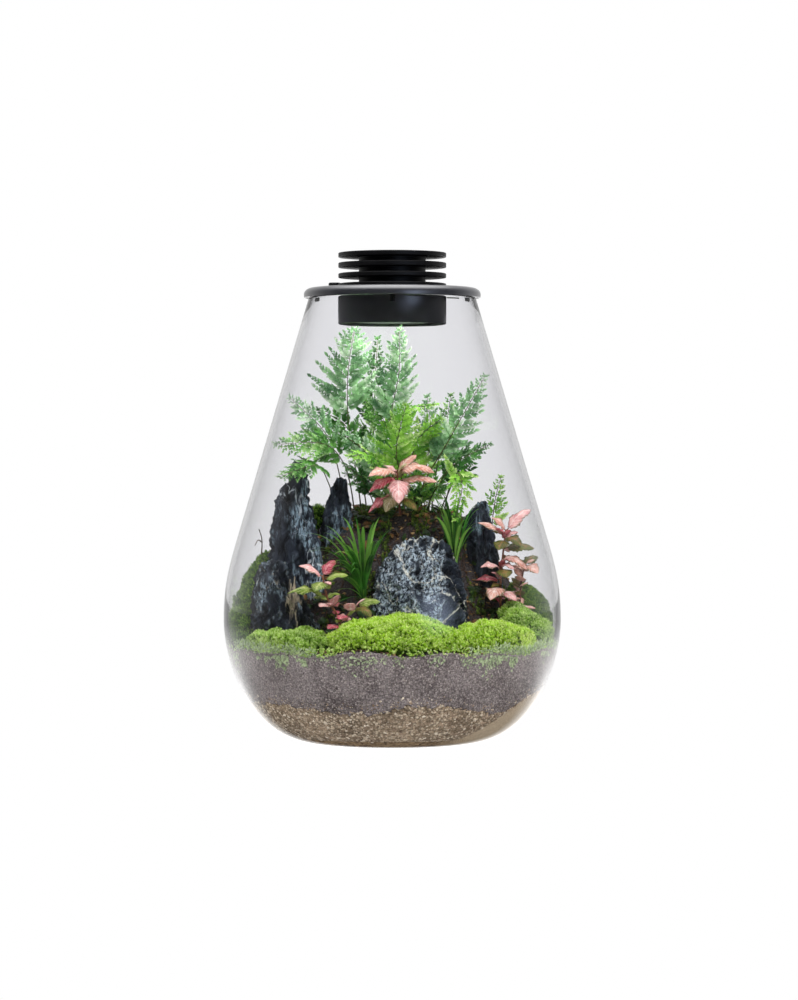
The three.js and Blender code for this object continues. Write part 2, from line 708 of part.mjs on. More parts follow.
const nervePlants = {
  nerve_plant_centre: {
    stems: [
      [[6, 10], [5, 4, 180], [4, -4, 190], [4, -11, 202]],
    ],
    leaves: [
      [[4, -11, 200], [-17, -23, 199], 6],
      [[4, -11, 201], [30, -17, 204], 6],
      [[4, -10, 201], [18, -3, 213], 4],
      [[4, -8, 197], [-17, -16, 187], 5],
      [[4, -8, 196], [5, -29, 181], 7],
      [[4, -6, 194], [33, -19, 193], 5],
      [[5, 0, 186], [-5, -17, 172], 5],
      [[5, 2, 183], [-18, -10, 174], 4],
      [[5, 2, 182], [18, -13, 172], 4],
    ],
  },
  nerve_plant_right: {
    stems: [
      [[80, -13], [80, -13, 121], [82, -12, 143], [84, -10, 158]],
    ],
    leaves: [
      [[84, -10, 157], [102, -6, 174], 5],
      [[84, -10, 157], [75, -13, 168], 4],
      [[84, -10, 154], [63, -16, 163], 4],
      [[83, -11, 151], [78, -24, 144], 5],
      [[84, -10, 153], [95, -18, 148], 5],
      [[83, -12, 145], [105, -8, 144], 6],
      [[82, -12, 139], [99, -20, 130], 4],
      [[81, -13, 130], [66, -22, 133], 4],
      [[81, -13, 129], [84, -27, 123], 5],
      [[80, -13, 121], [62, -16, 122], 4],
      [[80, -13, 116], [72, -31, 110], 6],
      [[80, -13, 113], [91, -25, 106], 4],
    ],
  },
  nerve_cutting_right: {
    stems: [
      [[94, -9], [95, -9, 116], [98, -8, 133]],
    ],
    leaves: [
      [[98, -8, 132], [108, 2, 139], 4],
      [[98, -8, 132], [107, -18, 128], 5],
      [[98, -8, 130], [92, 4, 136], 3],
    ],
  },
  nerve_plant_front: {
    stems: [
      [[-38, -69], [-38, -69, 94], [-46, -68, 108], [-50, -67, 125]],
      [[-38, -69], [-38, -69, 91], [-31, -69, 99], [-25, -67, 105]],
    ],
    leaves: [
      [[-50, -67, 125], [-66, -74, 134], 5],
      [[-50, -67, 125], [-42, -62, 138], 4],
      [[-49, -67, 122], [-53, -81, 116], 5],
      [[-49, -67, 123], [-34, -70, 126], 3],
      [[-47, -68, 112], [-74, -72, 117], 4],
      [[-44, -68, 105], [-52, -80, 104], 4],
      [[-43, -68, 103], [-39, -80, 113], 4],
      [[-30, -69, 99], [-30, -80, 108], 4],
      [[-32, -69, 96], [-38, -83, 95], 4],
      [[-26, -67, 104], [-9, -66, 108], 5],
      [[-26, -67, 103], [-15, -79, 99], 4],
      [[-36, -69, 90], [-46, -84, 88], 4],
    ],
  },
};

// A leaf that springs from its stem, folded a little along its midrib and arched.
function leafSolid([from, tip, half], stalks) {
  const start = nearestOn(stalks, vec(...from));
  const way = vec(...tip).sub(start);
  const along = way.clone().normalize();
  const look = vec(0, -0.5, 1);
  const normal = look.addScaledVector(along, -look.dot(along)).normalize();
  const side = along.clone().cross(normal);
  const corners = [];
  const corner = (t, offset, sink) => {
    const at = start.clone().addScaledVector(way, t).addScaledVector(side, offset);
    at.addScaledVector(normal, 0.5 * way.length() * t * (1 - t) - sink);
    return corners.push({ at, normal, half: LEAF_HALF }) - 1;
  };
  const faces = [];
  const base = corner(0, 0, 0);
  const widths = half < 5 ? [0.9, 0.8] : [0.72, 1, 0.62];
  const rows = widths.map((width, i) => {
    const t = (0.65 + i) / (widths.length + 0.2);
    const w = half * width;
    return [corner(t, -w, 0.25 * w), corner(t, 0, 0), corner(t, w, 0.25 * w)];
  });
  const end = corner(1, 0, 0);
  faces.push([base, rows[0][2], rows[0][1]], [base, rows[0][1], rows[0][0]]);
  for (let i = 0; i < rows.length - 1; i++) {
    const [low, high] = [rows[i], rows[i + 1]];
    for (const j of [0, 1]) {
      faces.push([low[j], low[j + 1], high[j + 1]], [low[j], high[j + 1], high[j]]);
    }
  }
  const top = rows[rows.length - 1];
  faces.push([top[1], top[2], end], [top[0], top[1], end]);
  return solidOf(plate(corners, faces));
}

function joined(solids) {
  return solids.reduce((all, next) => all.add(next));
}

for (const [name, plant] of Object.entries(nervePlants)) {
  const stalks = plant.stems.map(([[x, y], ...way]) => {
    const ground = soilTop(x, y);
    stems.push([x, y, STEM]);
    const start = [vec(x, y, ground - ROOT_DEPTH), vec(x, y, ground + 1)];
    return curveOf([...start, ...way.map((p) => vec(...p))]);
  });
  const stalkSolids = stalks.map((curve) => solidOf(tube(curve, STEM, 4, 6)));
  const leaves = plant.leaves.map((leaf) => leafSolid(leaf, stalks));
  place(name, joined([...stalkSolids, ...leaves]), paints.nerveLeaf);
}

// Tufts of strap leaves

const tufts = {
  grass_left: {
    root: [-21, -27],
    tips: [
      [-63, -58, 156], [-59, -70, 143], [-50, -50, 162], [-42, -74, 141], [-37, -46, 168],
      [-27, -34, 168], [-21, -66, 160], [-13, -50, 164], [-5, -66, 152], [1, -60, 160],
      [-46, -60, 126],
    ],
    width: 3.4,
  },
  grass_right: {
    root: [46, -9],
    tips: [
      [25, -16, 188], [18, -24, 178], [30, -34, 168], [37, -24, 184], [46, -34, 178],
      [54, -18, 182], [60, -30, 160], [67, -13, 174], [72, -26, 160], [52, -6, 178],
      [34, -8, 186],
    ],
    width: 3.2,
  },
};

function strapSolid(root, tip, width) {
  const flat = vec(tip.x - root.x, tip.y - root.y, 0);
  const knee = root.clone().addScaledVector(flat, 0.25);
  knee.z = Math.max(tip.z, root.z + 20) + 0.3 * flat.length();
  const curve = new THREE.QuadraticBezierCurve3(root, knee, tip);
  const side = flat.clone().normalize().cross(up);
  const corners = [];
  const faces = [];
  const corner = (t, offset) => {
    const normal = side.clone().cross(curve.getTangent(t));
    const at = curve.getPoint(t).addScaledVector(side, offset);
    return corners.push({ at, normal, half: LEAF_HALF }) - 1;
  };
  let low = null;
  for (const [t, share] of [[0, 0.55], [0.45, 1], [0.8, 0.8]]) {
    const half = (width * share) / 2;
    const high = [corner(t, -half), corner(t, half)];
    if (low) faces.push([low[0], low[1], high[1]], [low[0], high[1], high[0]]);
    low = high;
  }
  faces.push([low[0], low[1], corner(1, 0)]);
  return solidOf(plate(corners, faces));
}

for (const [name, { root: [x, y], tips, width }] of Object.entries(tufts)) {
  const ground = soilTop(x, y);
  stems.push([x, y, STOCK]);
  const stock = upright(STOCK, ground - ROOT_DEPTH, ground + 4, 8, x, y);
  const blades = tips.map((tip) => {
    const angle = Math.atan2(tip[1] - y, tip[0] - x);
    const start = vec(x + 2.2 * Math.cos(angle), y + 2.2 * Math.sin(angle), ground);
    return strapSolid(start, vec(...tip), width);
  });
  place(name, joined([solidOf(stock), ...blades]), paints.grass);
}

// Dead twig

const twigRoot = [-98, 14];
const twigGround = soilTop(...twigRoot);
stems.push([...twigRoot, TWIG]);
const twigCurve = curveOf([
  vec(...twigRoot, twigGround - ROOT_DEPTH),
  vec(...twigRoot, twigGround + 24),
  vec(-97.5, 11, 150),
  vec(-99, 0, 158),
]);
const fork = nearestOn([twigCurve], vec(-96, 8, 147));
const twigSide = curveOf([fork, vec(-100, 2, 150), vec(-102, -2, 146)]);
const twigSolids = [tube(twigCurve, TWIG, 5, 6), tube(twigSide, 0.5, 4, 3)].map(solidOf);
place("dead_twig", joined(twigSolids), paints.twig);

// Moss cushions: at is [x, y, half width, half depth, height], and phase shifts the waved edge

const cushions = {
  moss_front: { at: [2, -79, 51, 33, 22], phase: 0.3, finish: paints.moss },
  moss_right: { at: [74, -64, 30, 26, 17], phase: 1.7, finish: paints.moss },
  moss_right_edge: { at: [98, -26, 20, 22, 20], phase: 2.9, finish: paints.moss },
  moss_far_right: { at: [104, 14, 17, 22, 25], phase: 4.1, finish: paints.darkMoss },
  moss_front_left: { at: [-76, -70, 36, 27, 12], phase: 5.3, finish: paints.moss },
  moss_left_tuft: { at: [-108, -27, 16, 19, 24], phase: 6.1, finish: paints.darkMoss },
  moss_left_bank: { at: [-104, 10, 18, 26, 22], phase: 7.7, finish: paints.darkMoss },
  moss_back_bank: { at: [8, 92, 62, 24, 14], phase: 8.9, finish: paints.darkMoss },
  moss_ledge: { at: [-56, 22, 9, 8, 8], phase: 9.5, finish: paints.darkMoss },
};

function cushionSolid({ at: [x, y, rx, ry, height], phase }, grow = 0) {
  const around = 10;
  const rings = [0.42, 0.76, 0.96, 1];
  const points = [vec(x, y, soilTop(x, y) + height + grow)];
  const faces = [];
  const spot = (share, i) => {
    const angle = (i / around) * 2 * Math.PI;
    const wave = 1 + 0.07 * Math.sin(3 * angle + phase) + 0.04 * Math.cos(5 * angle + 2 * phase);
    const px = x + (rx * wave + grow) * share * Math.cos(angle);
    const py = y + (ry * wave + grow) * share * Math.sin(angle);
    return [px, py];
  };
  for (const share of rings) {
    for (let i = 0; i < around; i++) {
      const [px, py] = spot(share, i);
      const dome = Math.sqrt(Math.max(0, 1 - share ** 2.4));
      const bump = 1 + 0.12 * Math.sin(px / 6 + phase) * Math.cos(py / 5);
      points.push(vec(px, py, soilTop(px, py) + (height + grow) * dome * bump));
    }
  }
  for (let i = 0; i < around; i++) {
    const [px, py] = spot(1, i);
    points.push(vec(px, py, soilTop(px, py) - 6));
  }
  points.push(vec(x, y, soilTop(x, y) - 12));
  const bottom = points.length - 1;
  for (let i = 0; i < around; i++) {
    const next = (i + 1) % around;
    faces.push([0, 1 + i, 1 + next]);
    for (let level = 0; level < rings.length; level++) {
      const [a, b] = [1 + level * around + i, 1 + level * around + next];
      faces.push([a, a + around, b + around], [a, b + around, b]);
    }
    const foot = 1 + rings.length * around;
    faces.push([bottom, foot + next, foot + i]);
  }
  return solidOf(closed(points, faces));
}

// The hole of each stem, wider than the stem across its flats

const DRILL_SIDES = 4;
const drills = stems.map(([x, y, radius]) => {
  const ground = soilTop(x, y);
  const reach = (radius + 0.8) / Math.cos(Math.PI / DRILL_SIDES);
  return solidOf(upright(reach, ground - ROOT_DEPTH - CLEAR, ground + 30, DRILL_SIDES, x, y));
});
for (const drill of drills) soil = soil.subtract(drill);

const laid = [];
for (const [name, cushion] of Object.entries(cushions)) {
  let solid = cushionSolid(cushion).subtract(overSoil).intersect(room);
  for (const cutter of [...laid, ...seats, ...drills]) solid = solid.subtract(cutter);
  laid.push(cushionSolid(cushion, GAP));
  place(name, largest(solid), cushion.finish);
}

place("sand_layer", sand, paints.sand);
place("gravel_layer", gravel, paints.gravel);
place("soil", largest(soil), paints.soil);

export default part;
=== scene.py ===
# A planted glass jar with a lamp in its lid. +Z is up and the front of the planting faces -Y.
# Lists of places are in millimetres, as on the drawing, and mm turns them into metres.
import json
import math
import random

import bpy
import numpy as np
from mathutils import Matrix, Vector, noise

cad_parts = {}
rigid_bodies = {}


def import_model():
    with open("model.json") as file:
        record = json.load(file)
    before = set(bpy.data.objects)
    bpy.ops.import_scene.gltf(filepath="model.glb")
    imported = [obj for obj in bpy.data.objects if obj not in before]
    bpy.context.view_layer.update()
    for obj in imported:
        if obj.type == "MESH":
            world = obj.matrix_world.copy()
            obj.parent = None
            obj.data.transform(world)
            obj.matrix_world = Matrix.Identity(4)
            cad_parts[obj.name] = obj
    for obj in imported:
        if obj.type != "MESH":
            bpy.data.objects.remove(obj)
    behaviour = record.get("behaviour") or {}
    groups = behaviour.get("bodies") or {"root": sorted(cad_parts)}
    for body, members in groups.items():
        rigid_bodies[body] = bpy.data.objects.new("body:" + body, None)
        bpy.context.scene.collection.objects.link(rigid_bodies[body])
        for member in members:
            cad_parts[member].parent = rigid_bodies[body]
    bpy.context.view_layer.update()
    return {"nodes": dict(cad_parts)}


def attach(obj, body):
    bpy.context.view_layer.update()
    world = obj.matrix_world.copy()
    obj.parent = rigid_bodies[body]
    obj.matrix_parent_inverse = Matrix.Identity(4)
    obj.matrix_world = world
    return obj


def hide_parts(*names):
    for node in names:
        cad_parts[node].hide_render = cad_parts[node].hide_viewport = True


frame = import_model()
mm = 0.001
up = Vector((0, 0, 1))
print("frame loaded:", len(frame["nodes"]), "nodes")


# Camera and studio

shot = {
    "distance": 2.6, "height": 0.2096, "aim": (0.005, 0.0, 0.1799), "seenHeight": 0.742, "sensor": 36,
}
white = (1, 1, 1, 1)


def aimAt(thing, target):
    way = Vector(target) - thing.location
    thing.rotation_euler = way.to_track_quat("-Z", "Y").to_euler()


def hideFrom(thing, *rays):
    for ray in rays:
        setattr(thing, "visible_" + ray, False)


def addCamera():
    bpy.ops.object.camera_add(location=(0, -shot["distance"], shot["height"]))
    camera = bpy.context.object
    camera.name = "camera"
    camera.data.sensor_fit = "VERTICAL"
    camera.data.sensor_height = shot["sensor"]
    camera.data.lens = shot["sensor"] * shot["distance"] / shot["seenHeight"]
    aimAt(camera, shot["aim"])
    bpy.context.scene.camera = camera


def addNode(tree, kind, inputs=None, **settings):
    made = tree.nodes.new(kind)
    for name, value in settings.items():
        setattr(made, name, value)
    for name, value in (inputs or {}).items():
        if isinstance(value, bpy.types.NodeSocket):
            tree.links.new(value, made.inputs[name])
        else:
            made.inputs[name].default_value = value
    return made


def mixShaders(tree, factor, first, second):
    return addNode(tree, "ShaderNodeMixShader", {0: factor, 1: first, 2: second}).outputs[0]


studio = {
    "seen": 1.0,  # the white that stands behind the jar
    "ambient": 0.8,  # what lights dull surfaces
    "mirrored": {
        "front": 0.012, "back": 0.72, "table": 3.0, "above": 3.0, "radius": 6,
    },  # what glossy surfaces mirror
    "glint": {
        "way": (0.5, -0.86, 0.06), "low": 0.955, "high": 0.997, "strength": 2.6,
        "colour": (0.62, 0.74, 1, 1),
    },
    "litPoint": (0, 0, 0.15),
    "softboxes": {
        "keyRight": {"at": (1.0, -1.5, 2.0), "size": (0.7, 0.7), "power": 62},
        "fillLeft": {"at": (-1.9, -1.0, 1.2), "size": (0.7, 1.2), "power": 14},
        "top": {"at": (0.0, 0.3, 2.2), "size": (1.0, 1.0), "power": 16},
    },
    "lampGlow": {"height": 308.8, "width": 66, "power": 0.22, "colour": (0.96, 1.0, 0.92)},
    # The floor's painted shadow under the jar: where it ends and how dark it is
    "floor": {"width": 30, "drop": 0.05, "paintedShadowReach": (0.05, 0.078), "dark": 0.05, "remirrored": 0.03},
}


def addWorld():
    world = bpy.data.worlds.new("studioWhite")
    bpy.context.scene.world = world
    world.use_nodes = True
    tree = world.node_tree
    tree.nodes.clear()
    path = addNode(tree, "ShaderNodeLightPath")
    light, seen = (
        addNode(tree, "ShaderNodeBackground", {"Color": white, "Strength": studio[name]}).outputs[0]
        for name in ("ambient", "seen")
    )
    for switch in ("Is Transmission Ray", "Is Camera Ray"):
        light = mixShaders(tree, path.outputs[switch], light, seen)
    addNode(tree, "ShaderNodeOutputWorld", {"Surface": light})


# A dome that only glossy surfaces mirror: bright behind the jar, dim in front of it, with a white
# table below, a light overhead and one bluish glint from the right. Straight through the glass it
# is the same white as behind the jar.
def addSurround():
    mirrored, glint = studio["mirrored"], studio["glint"]
    bpy.ops.mesh.primitive_uv_sphere_add(segments=48, ring_count=24, radius=mirrored["radius"])
    dome = bpy.context.object
    dome.name = "surround"
    smoothShade(dome, 180)
    hideFrom(dome, "camera", "diffuse", "shadow", "volume_scatter")
    material, tree, _, place = newMaterial("surroundLight")
    way = addNode(tree, "ShaderNodeVectorMath", {0: place}, operation="NORMALIZE").outputs[0]
    parts = addNode(tree, "ShaderNodeSeparateXYZ", {0: way})
    back = mapped(tree, parts.outputs[1], -0.1, 0.95, mirrored["front"], mirrored["back"])
    table = mapped(tree, parts.outputs[2], -0.04, -0.2, 1.0, mirrored["table"])
    table = maths(tree, "MULTIPLY", table, mapped(tree, parts.outputs[2], -0.26, -0.5, 1.0, 0.02))
    above = mapped(tree, parts.outputs[2], 0.72, 0.92, 0.0, mirrored["above"])
    towards = Vector(glint["way"]).normalized()
    facing = addNode(tree, "ShaderNodeVectorMath", {0: way, 1: towards}, operation="DOT_PRODUCT")
    spot = mapped(tree, facing.outputs["Value"], glint["low"], glint["high"])
    spot = maths(tree, "MULTIPLY", maths(tree, "MULTIPLY", spot, spot), glint["strength"])
    strength = maths(tree, "ADD", maths(tree, "MULTIPLY", back, table), maths(tree, "ADD", above, spot))
    colour = mixColours(tree, mapped(tree, spot, 0.0, 0.3), white, glint["colour"])
    path = addNode(tree, "ShaderNodeLightPath")
    unmirrored = maths(tree, "LESS_THAN", path.outputs["Glossy Depth"], 0.5)
    straight = maths(tree, "MULTIPLY", path.outputs["Is Transmission Ray"], unmirrored)
    seen = emission(tree, white, studio["seen"])
    setSurface(tree, mixShaders(tree, straight, emission(tree, colour, strength), seen))
    dome.data.materials.append(material)


def addLight(name, at, shape, power):
    bpy.ops.object.light_add(type="AREA", location=at)
    light = bpy.context.object
    light.name = name
    light.data.shape = shape
    light.data.energy = power
    hideFrom(light, "camera", "glossy", "transmission")
    return light


def addSoftbox(name, at, size, power):
    softbox = addLight(name, at, "RECTANGLE", power)
    softbox.data.size, softbox.data.size_y = size
    aimAt(softbox, studio["litPoint"])


def addLampGlow():
    glow = studio["lampGlow"]
    light = addLight("lampGlow", (0, 0, glow["height"] * mm), "DISK", glow["power"])
    light.data.size = glow["width"] * mm
    light.data.color = glow["colour"]


addCamera()
addWorld()
for boxName, box in studio["softboxes"].items():
    addSoftbox(boxName, **box)
addLampGlow()
bpy.context.scene.view_settings.view_transform = "Standard"
print("camera and studio done")


# Modelling helpers


def pick(piece):
    bpy.ops.object.select_all(action="DESELECT")
    piece.select_set(True)
    bpy.context.view_layer.objects.active = piece


def modify(piece, kind, **settings):
    pick(piece)
    modifier = piece.modifiers.new("step", kind)
    for name, value in settings.items():
        setattr(modifier, name, value)
    bpy.ops.object.modifier_apply(modifier=modifier.name)


def smoothShade(piece, angle):
    pick(piece)
    bpy.ops.object.shade_smooth_by_angle(angle=math.radians(angle))


def finish(piece, name, finishes, slot, *nodes):
    piece.name = name
    piece.data.name = name
    for material in finishes:
        piece.data.materials.append(material)
    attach(piece, "root")
    if nodes:
        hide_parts(*nodes)
    return piece


def linked(name, mesh):
    piece = bpy.data.objects.new(name, mesh)
    bpy.context.collection.objects.link(piece)
    return piece


# Merges points that lie together and, where asked, turns the faces outwards
def mergePoints(piece, apart, outwards=False):
    pick(piece)
    bpy.ops.object.mode_set(mode="EDIT")
    bpy.ops.mesh.select_all(action="SELECT")
    bpy.ops.mesh.remove_doubles(threshold=apart * mm)
    if outwards:
        bpy.ops.mesh.normals_make_consistent(inside=False)
    bpy.ops.object.mode_set(mode="OBJECT")


def copyOfNode(node):
    piece = linked(node + "Copy", frame["nodes"][node].data.copy())
    piece.data.materials.clear()
    mergePoints(piece, 0.01)
    return piece


def camelName(node):
    first, *rest = node.split("_")
    return first + "".join(word.capitalize() for word in rest)


# Spins a profile of (radius, height) about the jar's axis. A ring's profile closes on itself.
def turned(profile, steps, ring=False):
    mesh = bpy.data.meshes.new("profile")
    points = [(r * mm, 0, z * mm) for r, z in profile]
    edges = [(i, i + 1) for i in range(len(points) - 1)]
    if ring:
        edges.append((len(points) - 1, 0))
    mesh.from_pydata(points, edges, [])
    piece = linked("turned", mesh)
    pick(piece)
    bpy.ops.object.mode_set(mode="EDIT")
    bpy.ops.mesh.select_all(action="SELECT")
    bpy.ops.mesh.spin(steps=steps, angle=2 * math.pi, center=(0, 0, 0), axis=(0, 0, 1))
    bpy.ops.object.mode_set(mode="OBJECT")
    mergePoints(piece, 0.001, outwards=True)
    return piece


# Moves a mesh's points to new places
def reshape(mesh, places):
    mesh.vertices.foreach_set("co", np.array(places, dtype=np.float32).ravel())
    mesh.update()


def setTones(mesh, tones):
    mesh.attributes.new("tone", "FLOAT", "POINT").data.foreach_set("value", tones)


# A mesh from parts: points, faces with one number of corners, finish number, tone and uv.
def pieceOf(name, parts):
    parts = [part for part in parts if len(part["points"])]
    points = np.concatenate([part["points"] for part in parts])
    corners, starts, finishes = [], [], []
    firstPoint, firstCorner = 0, 0
    for part in parts:
        faces = np.asarray(part["faces"]) + firstPoint
        corners.append(faces.ravel())
        starts.append(firstCorner + np.arange(len(faces)) * faces.shape[1])
        finishes.append(np.full(len(faces), part.get("finish", 0)))
        firstPoint += len(part["points"])
        firstCorner += faces.size
    corners, starts = np.concatenate(corners), np.concatenate(starts)
    mesh = bpy.data.meshes.new(name)
    mesh.vertices.add(len(points))
    mesh.vertices.foreach_set("co", points.astype(np.float32).ravel())
    mesh.loops.add(len(corners))
    mesh.loops.foreach_set("vertex_index", corners.astype(np.int32))
    mesh.polygons.add(len(starts))
    mesh.polygons.foreach_set("loop_start", starts.astype(np.int32))
    mesh.polygons.foreach_set("material_index", np.concatenate(finishes).astype(np.int32))
    tones = [np.broadcast_to(part.get("tone", 0.5), len(part["points"])) for part in parts]
    setTones(mesh, np.concatenate(tones))
    if any("uv" in part for part in parts):
        flat = [part.get("uv", np.zeros((len(part["points"]), 2))) for part in parts]
        layer = mesh.uv_layers.new(name="leaf")
        layer.data.foreach_set("uv", np.concatenate(flat)[corners].astype(np.float32).ravel())
    mesh.update(calc_edges=True)
    mesh.polygons.foreach_set("use_smooth", np.ones(len(starts), bool))
    mesh.validate()
    return linked(name, mesh)


# One shape's copies at the given places (4 x 4 matrices), each with its own tone.
def copies(shape, places, finishNumber=0, tones=None):
    if not len(places):
        return {"points": np.zeros((0, 3)), "faces": np.zeros((0, 3), int)}
    places = np.array([np.array(place) for place in places])
    count, size = len(places), len(shape["points"])
    points = np.einsum("mij,nj->mni", places[:, :3, :3], shape["points"]) + places[:, None, :3, 3]
    faces = shape["faces"][None] + (np.arange(count) * size)[:, None, None]
    tone = np.repeat(np.random.rand(count) if tones is None else tones, size)
    if "tone" in shape:
        tone = 0.55 * tone + 0.45 * np.tile(shape["tone"], count)
    part = {
        "points": points.reshape(-1, 3),
        "faces": faces.reshape(-1, shape["faces"].shape[1]),
        "finish": finishNumber,
        "tone": tone,
    }
    if "uv" in shape:
        part["uv"] = np.tile(shape["uv"], (count, 1))
    return part


# A sheet of rows x columns points, with uv: u across from -1 to 1 and v along from 0 to 1. The
# columns are even, or stand where across says.
def sheetOf(rows, columns, place, across=None):
    across = across or [2 * j / (columns - 1) - 1 for j in range(columns)]
    points, uv = [], []
    for i in range(rows):
        v = i / (rows - 1)
        for u in across:
            points.append(place(u, v))
            uv.append((u, v))
    faces = [
        (i * columns + j, i * columns + j + 1, (i + 1) * columns + j + 1, (i + 1) * columns + j)
        for i in range(rows - 1)
        for j in range(columns - 1)
    ]
    return {"points": np.array(points), "faces": np.array(faces), "uv": np.array(uv)}


# A thin stalk through the points, with a radius at each.
def stalkOf(points, radii, sides=5, finishNumber=0, tone=0.5):
    points = [Vector(p) for p in points]
    count = len(points)
    ring = []
    side = None
    for i, at in enumerate(points):
        along = (points[min(i + 1, count - 1)] - points[max(i - 1, 0)]).normalized()
        if side is None:
            side = along.orthogonal().normalized()
        side = (side - along * side.dot(along)).normalized()
        other = along.cross(side)
        for k in range(sides):
            angle = 2 * math.pi * k / sides
            ring.append(at + (side * math.cos(angle) + other * math.sin(angle)) * radii[i])
    faces = []
    for i in range(count - 1):
        for k in range(sides):
            a, b = i * sides + k, i * sides + (k + 1) % sides
            faces.append((a, b, b + sides, a + sides))
    return {"points": np.array(ring), "faces": np.array(faces), "finish": finishNumber, "tone": tone}


def smooth(low, high, value):
    t = min(1, max(0, (value - low) / (high - low)))
    return t * t * (3 - 2 * t)


# A centripetal Catmull-Rom line through the points, as an even row of points.
def wayThrough(points, count=120):
    points = [Vector(p) for p in points]
    first, last = 2 * points[0] - points[1], 2 * points[-1] - points[-2]
    chain = [first, *points, last]
    dense = []
    for i in range(1, len(chain) - 2):
        a, b, c, d = chain[i - 1 : i + 3]
        da, db, dc = ((q - p).length ** 0.5 for p, q in ((a, b), (b, c), (c, d)))
        start = ((b - a) / da - (c - a) / (da + db) + (c - b) / db) * db
        end = ((c - b) / db - (d - b) / (db + dc) + (d - c) / dc) * db
        for k in range(40):
            t = k / 40
            bend = (2 * b - 2 * c + start + end) * t**3 + (3 * c - 3 * b - 2 * start - end) * t**2
            dense.append(b + start * t + bend)
    dense.append(points[-1])
    steps = [0.0]
    for p, q in zip(dense, dense[1:]):
        steps.append(steps[-1] + (q - p).length)
    wanted = np.linspace(0, steps[-1], count)
    lines = [np.interp(wanted, steps, [p[axis] for p in dense]) for axis in range(3)]
    return [Vector(p) for p in zip(*lines)]


def lengthOf(way):
    return sum((q - p).length for p, q in zip(way, way[1:]))


# The side of a direction that turns towards face
def upperSide(along, face):
    return (face - along * face.dot(along)).normalized()


# Some direction square to another
def anySide(along):
    return Matrix.Rotation(draw(0, 6.28), 3, along) @ along.orthogonal().normalized()


# Where a share of the way has been gone: place, direction, the upper side and the side.
def frameAlong(way, share, face):
    spot = min(max(share, 0), 1) * (len(way) - 1)
    i = min(int(spot), len(way) - 2)
    at = way[i].lerp(way[i + 1], spot - i)
    along = (way[min(i + 2, len(way) - 1)] - way[max(i - 1, 0)]).normalized()
    normal = upperSide(along, face)
    return at, along, normal, along.cross(normal)


def placeOf(at, right, along, normal, size=(1, 1, 1)):
    axes = Matrix((right * size[0], along * size[1], normal * size[2])).transposed()
    return Matrix.Translation(at) @ axes.to_4x4()


def draw(low, high):
    return random.uniform(low, high)


random.seed(7)
np.random.seed(7)
noise.seed_set(1795543110)  # noise_vector would take its seed from the clock


# Shared effects of the materials


def newGroup(name, inputs, outputs):
    group = bpy.data.node_groups.new(name, "ShaderNodeTree")
    for label, kind, value in inputs:
        socket = group.interface.new_socket(label, in_out="INPUT", socket_type="NodeSocket" + kind)
        if value is not None:
            socket.default_value = value
    for label, kind in outputs:
        group.interface.new_socket(label, in_out="OUTPUT", socket_type="NodeSocket" + kind)
    start = group.nodes.new("NodeGroupInput")
    end = group.nodes.new("NodeGroupOutput")
    return group, start.outputs, end.inputs


def mixColours(tree, factor, first, second, kind="MIX"):
    mix = addNode(tree, "ShaderNodeMix", {0: factor, 6: first, 7: second}, data_type="RGBA")
    mix.blend_type = kind
    return mix.outputs[2]


def mapped(tree, value, low, high, toLow=0.0, toHigh=1.0):
    inputs = {"Value": value, "From Min": low, "From Max": high, "To Min": toLow, "To Max": toHigh}
    return addNode(tree, "ShaderNodeMapRange", inputs).outputs[0]


def maths(tree, operation, first, second=0.0):
    return addNode(tree, "ShaderNodeMath", {0: first, 1: second}, operation=operation).outputs[0]


def noiseOf(tree, place, scale, detail, **more):
    inputs = {"Vector": place, "Scale": scale, "Detail": detail, **more}
    return addNode(tree, "ShaderNodeTexNoise", inputs).outputs["Fac"]


def emission(tree, colour, strength):
    return addNode(tree, "ShaderNodeEmission", {"Color": colour, "Strength": strength}).outputs[0]


# Cloudy change between two colours
def mottleGroup():
    group, given, out = newGroup(
        "mottle",
        [("Place", "Vector", None), ("Scale", "Float", 50.0), ("Low", "Float", 0.35),
         ("High", "Float", 0.65), ("Dark", "Color", None), ("Light", "Color", None)],
        [("Colour", "Color"), ("Mask", "Float")],
    )
    cloud = noiseOf(group, given["Place"], given["Scale"], 5.0)
    mask = mapped(group, cloud, given["Low"], given["High"])
    colour = mixColours(group, mask, given["Dark"], given["Light"])
    group.links.new(colour, out["Colour"])
    group.links.new(mask, out["Mask"])
    return group


# Packed grains: a tone for each and the height of its rounded top
def grainGroup():
    group, given, out = newGroup(
        "grains",
        [("Place", "Vector", None), ("Scale", "Float", 900.0)],
        [("Tone", "Float"), ("Height", "Float")],
    )
    cells = addNode(group, "ShaderNodeTexVoronoi", {"Vector": given["Place"], "Scale": given["Scale"]})
    shade = addNode(group, "ShaderNodeSeparateColor", {0: cells.outputs["Color"]})
    group.links.new(shade.outputs[0], out["Tone"])
    group.links.new(mapped(group, cells.outputs["Distance"], 0.0, 0.7, 1.0, 0.0), out["Height"])
    return group


# Thin branching lines, as mineral veins in stone
def veinGroup():
    group, given, out = newGroup(
        "mineralVeins",
        [("Place", "Vector", None), ("Scale", "Float", 40.0), ("Width", "Float", 0.02)],
        [("Mask", "Float")],
    )
    cloud = noiseOf(group, given["Place"], given["Scale"], 4.0, Distortion=0.6)
    away = maths(group, "ABSOLUTE", maths(group, "SUBTRACT", cloud, 0.5))
    group.links.new(mapped(group, away, 0.0, given["Width"], 1.0, 0.0), out["Mask"])
    return group


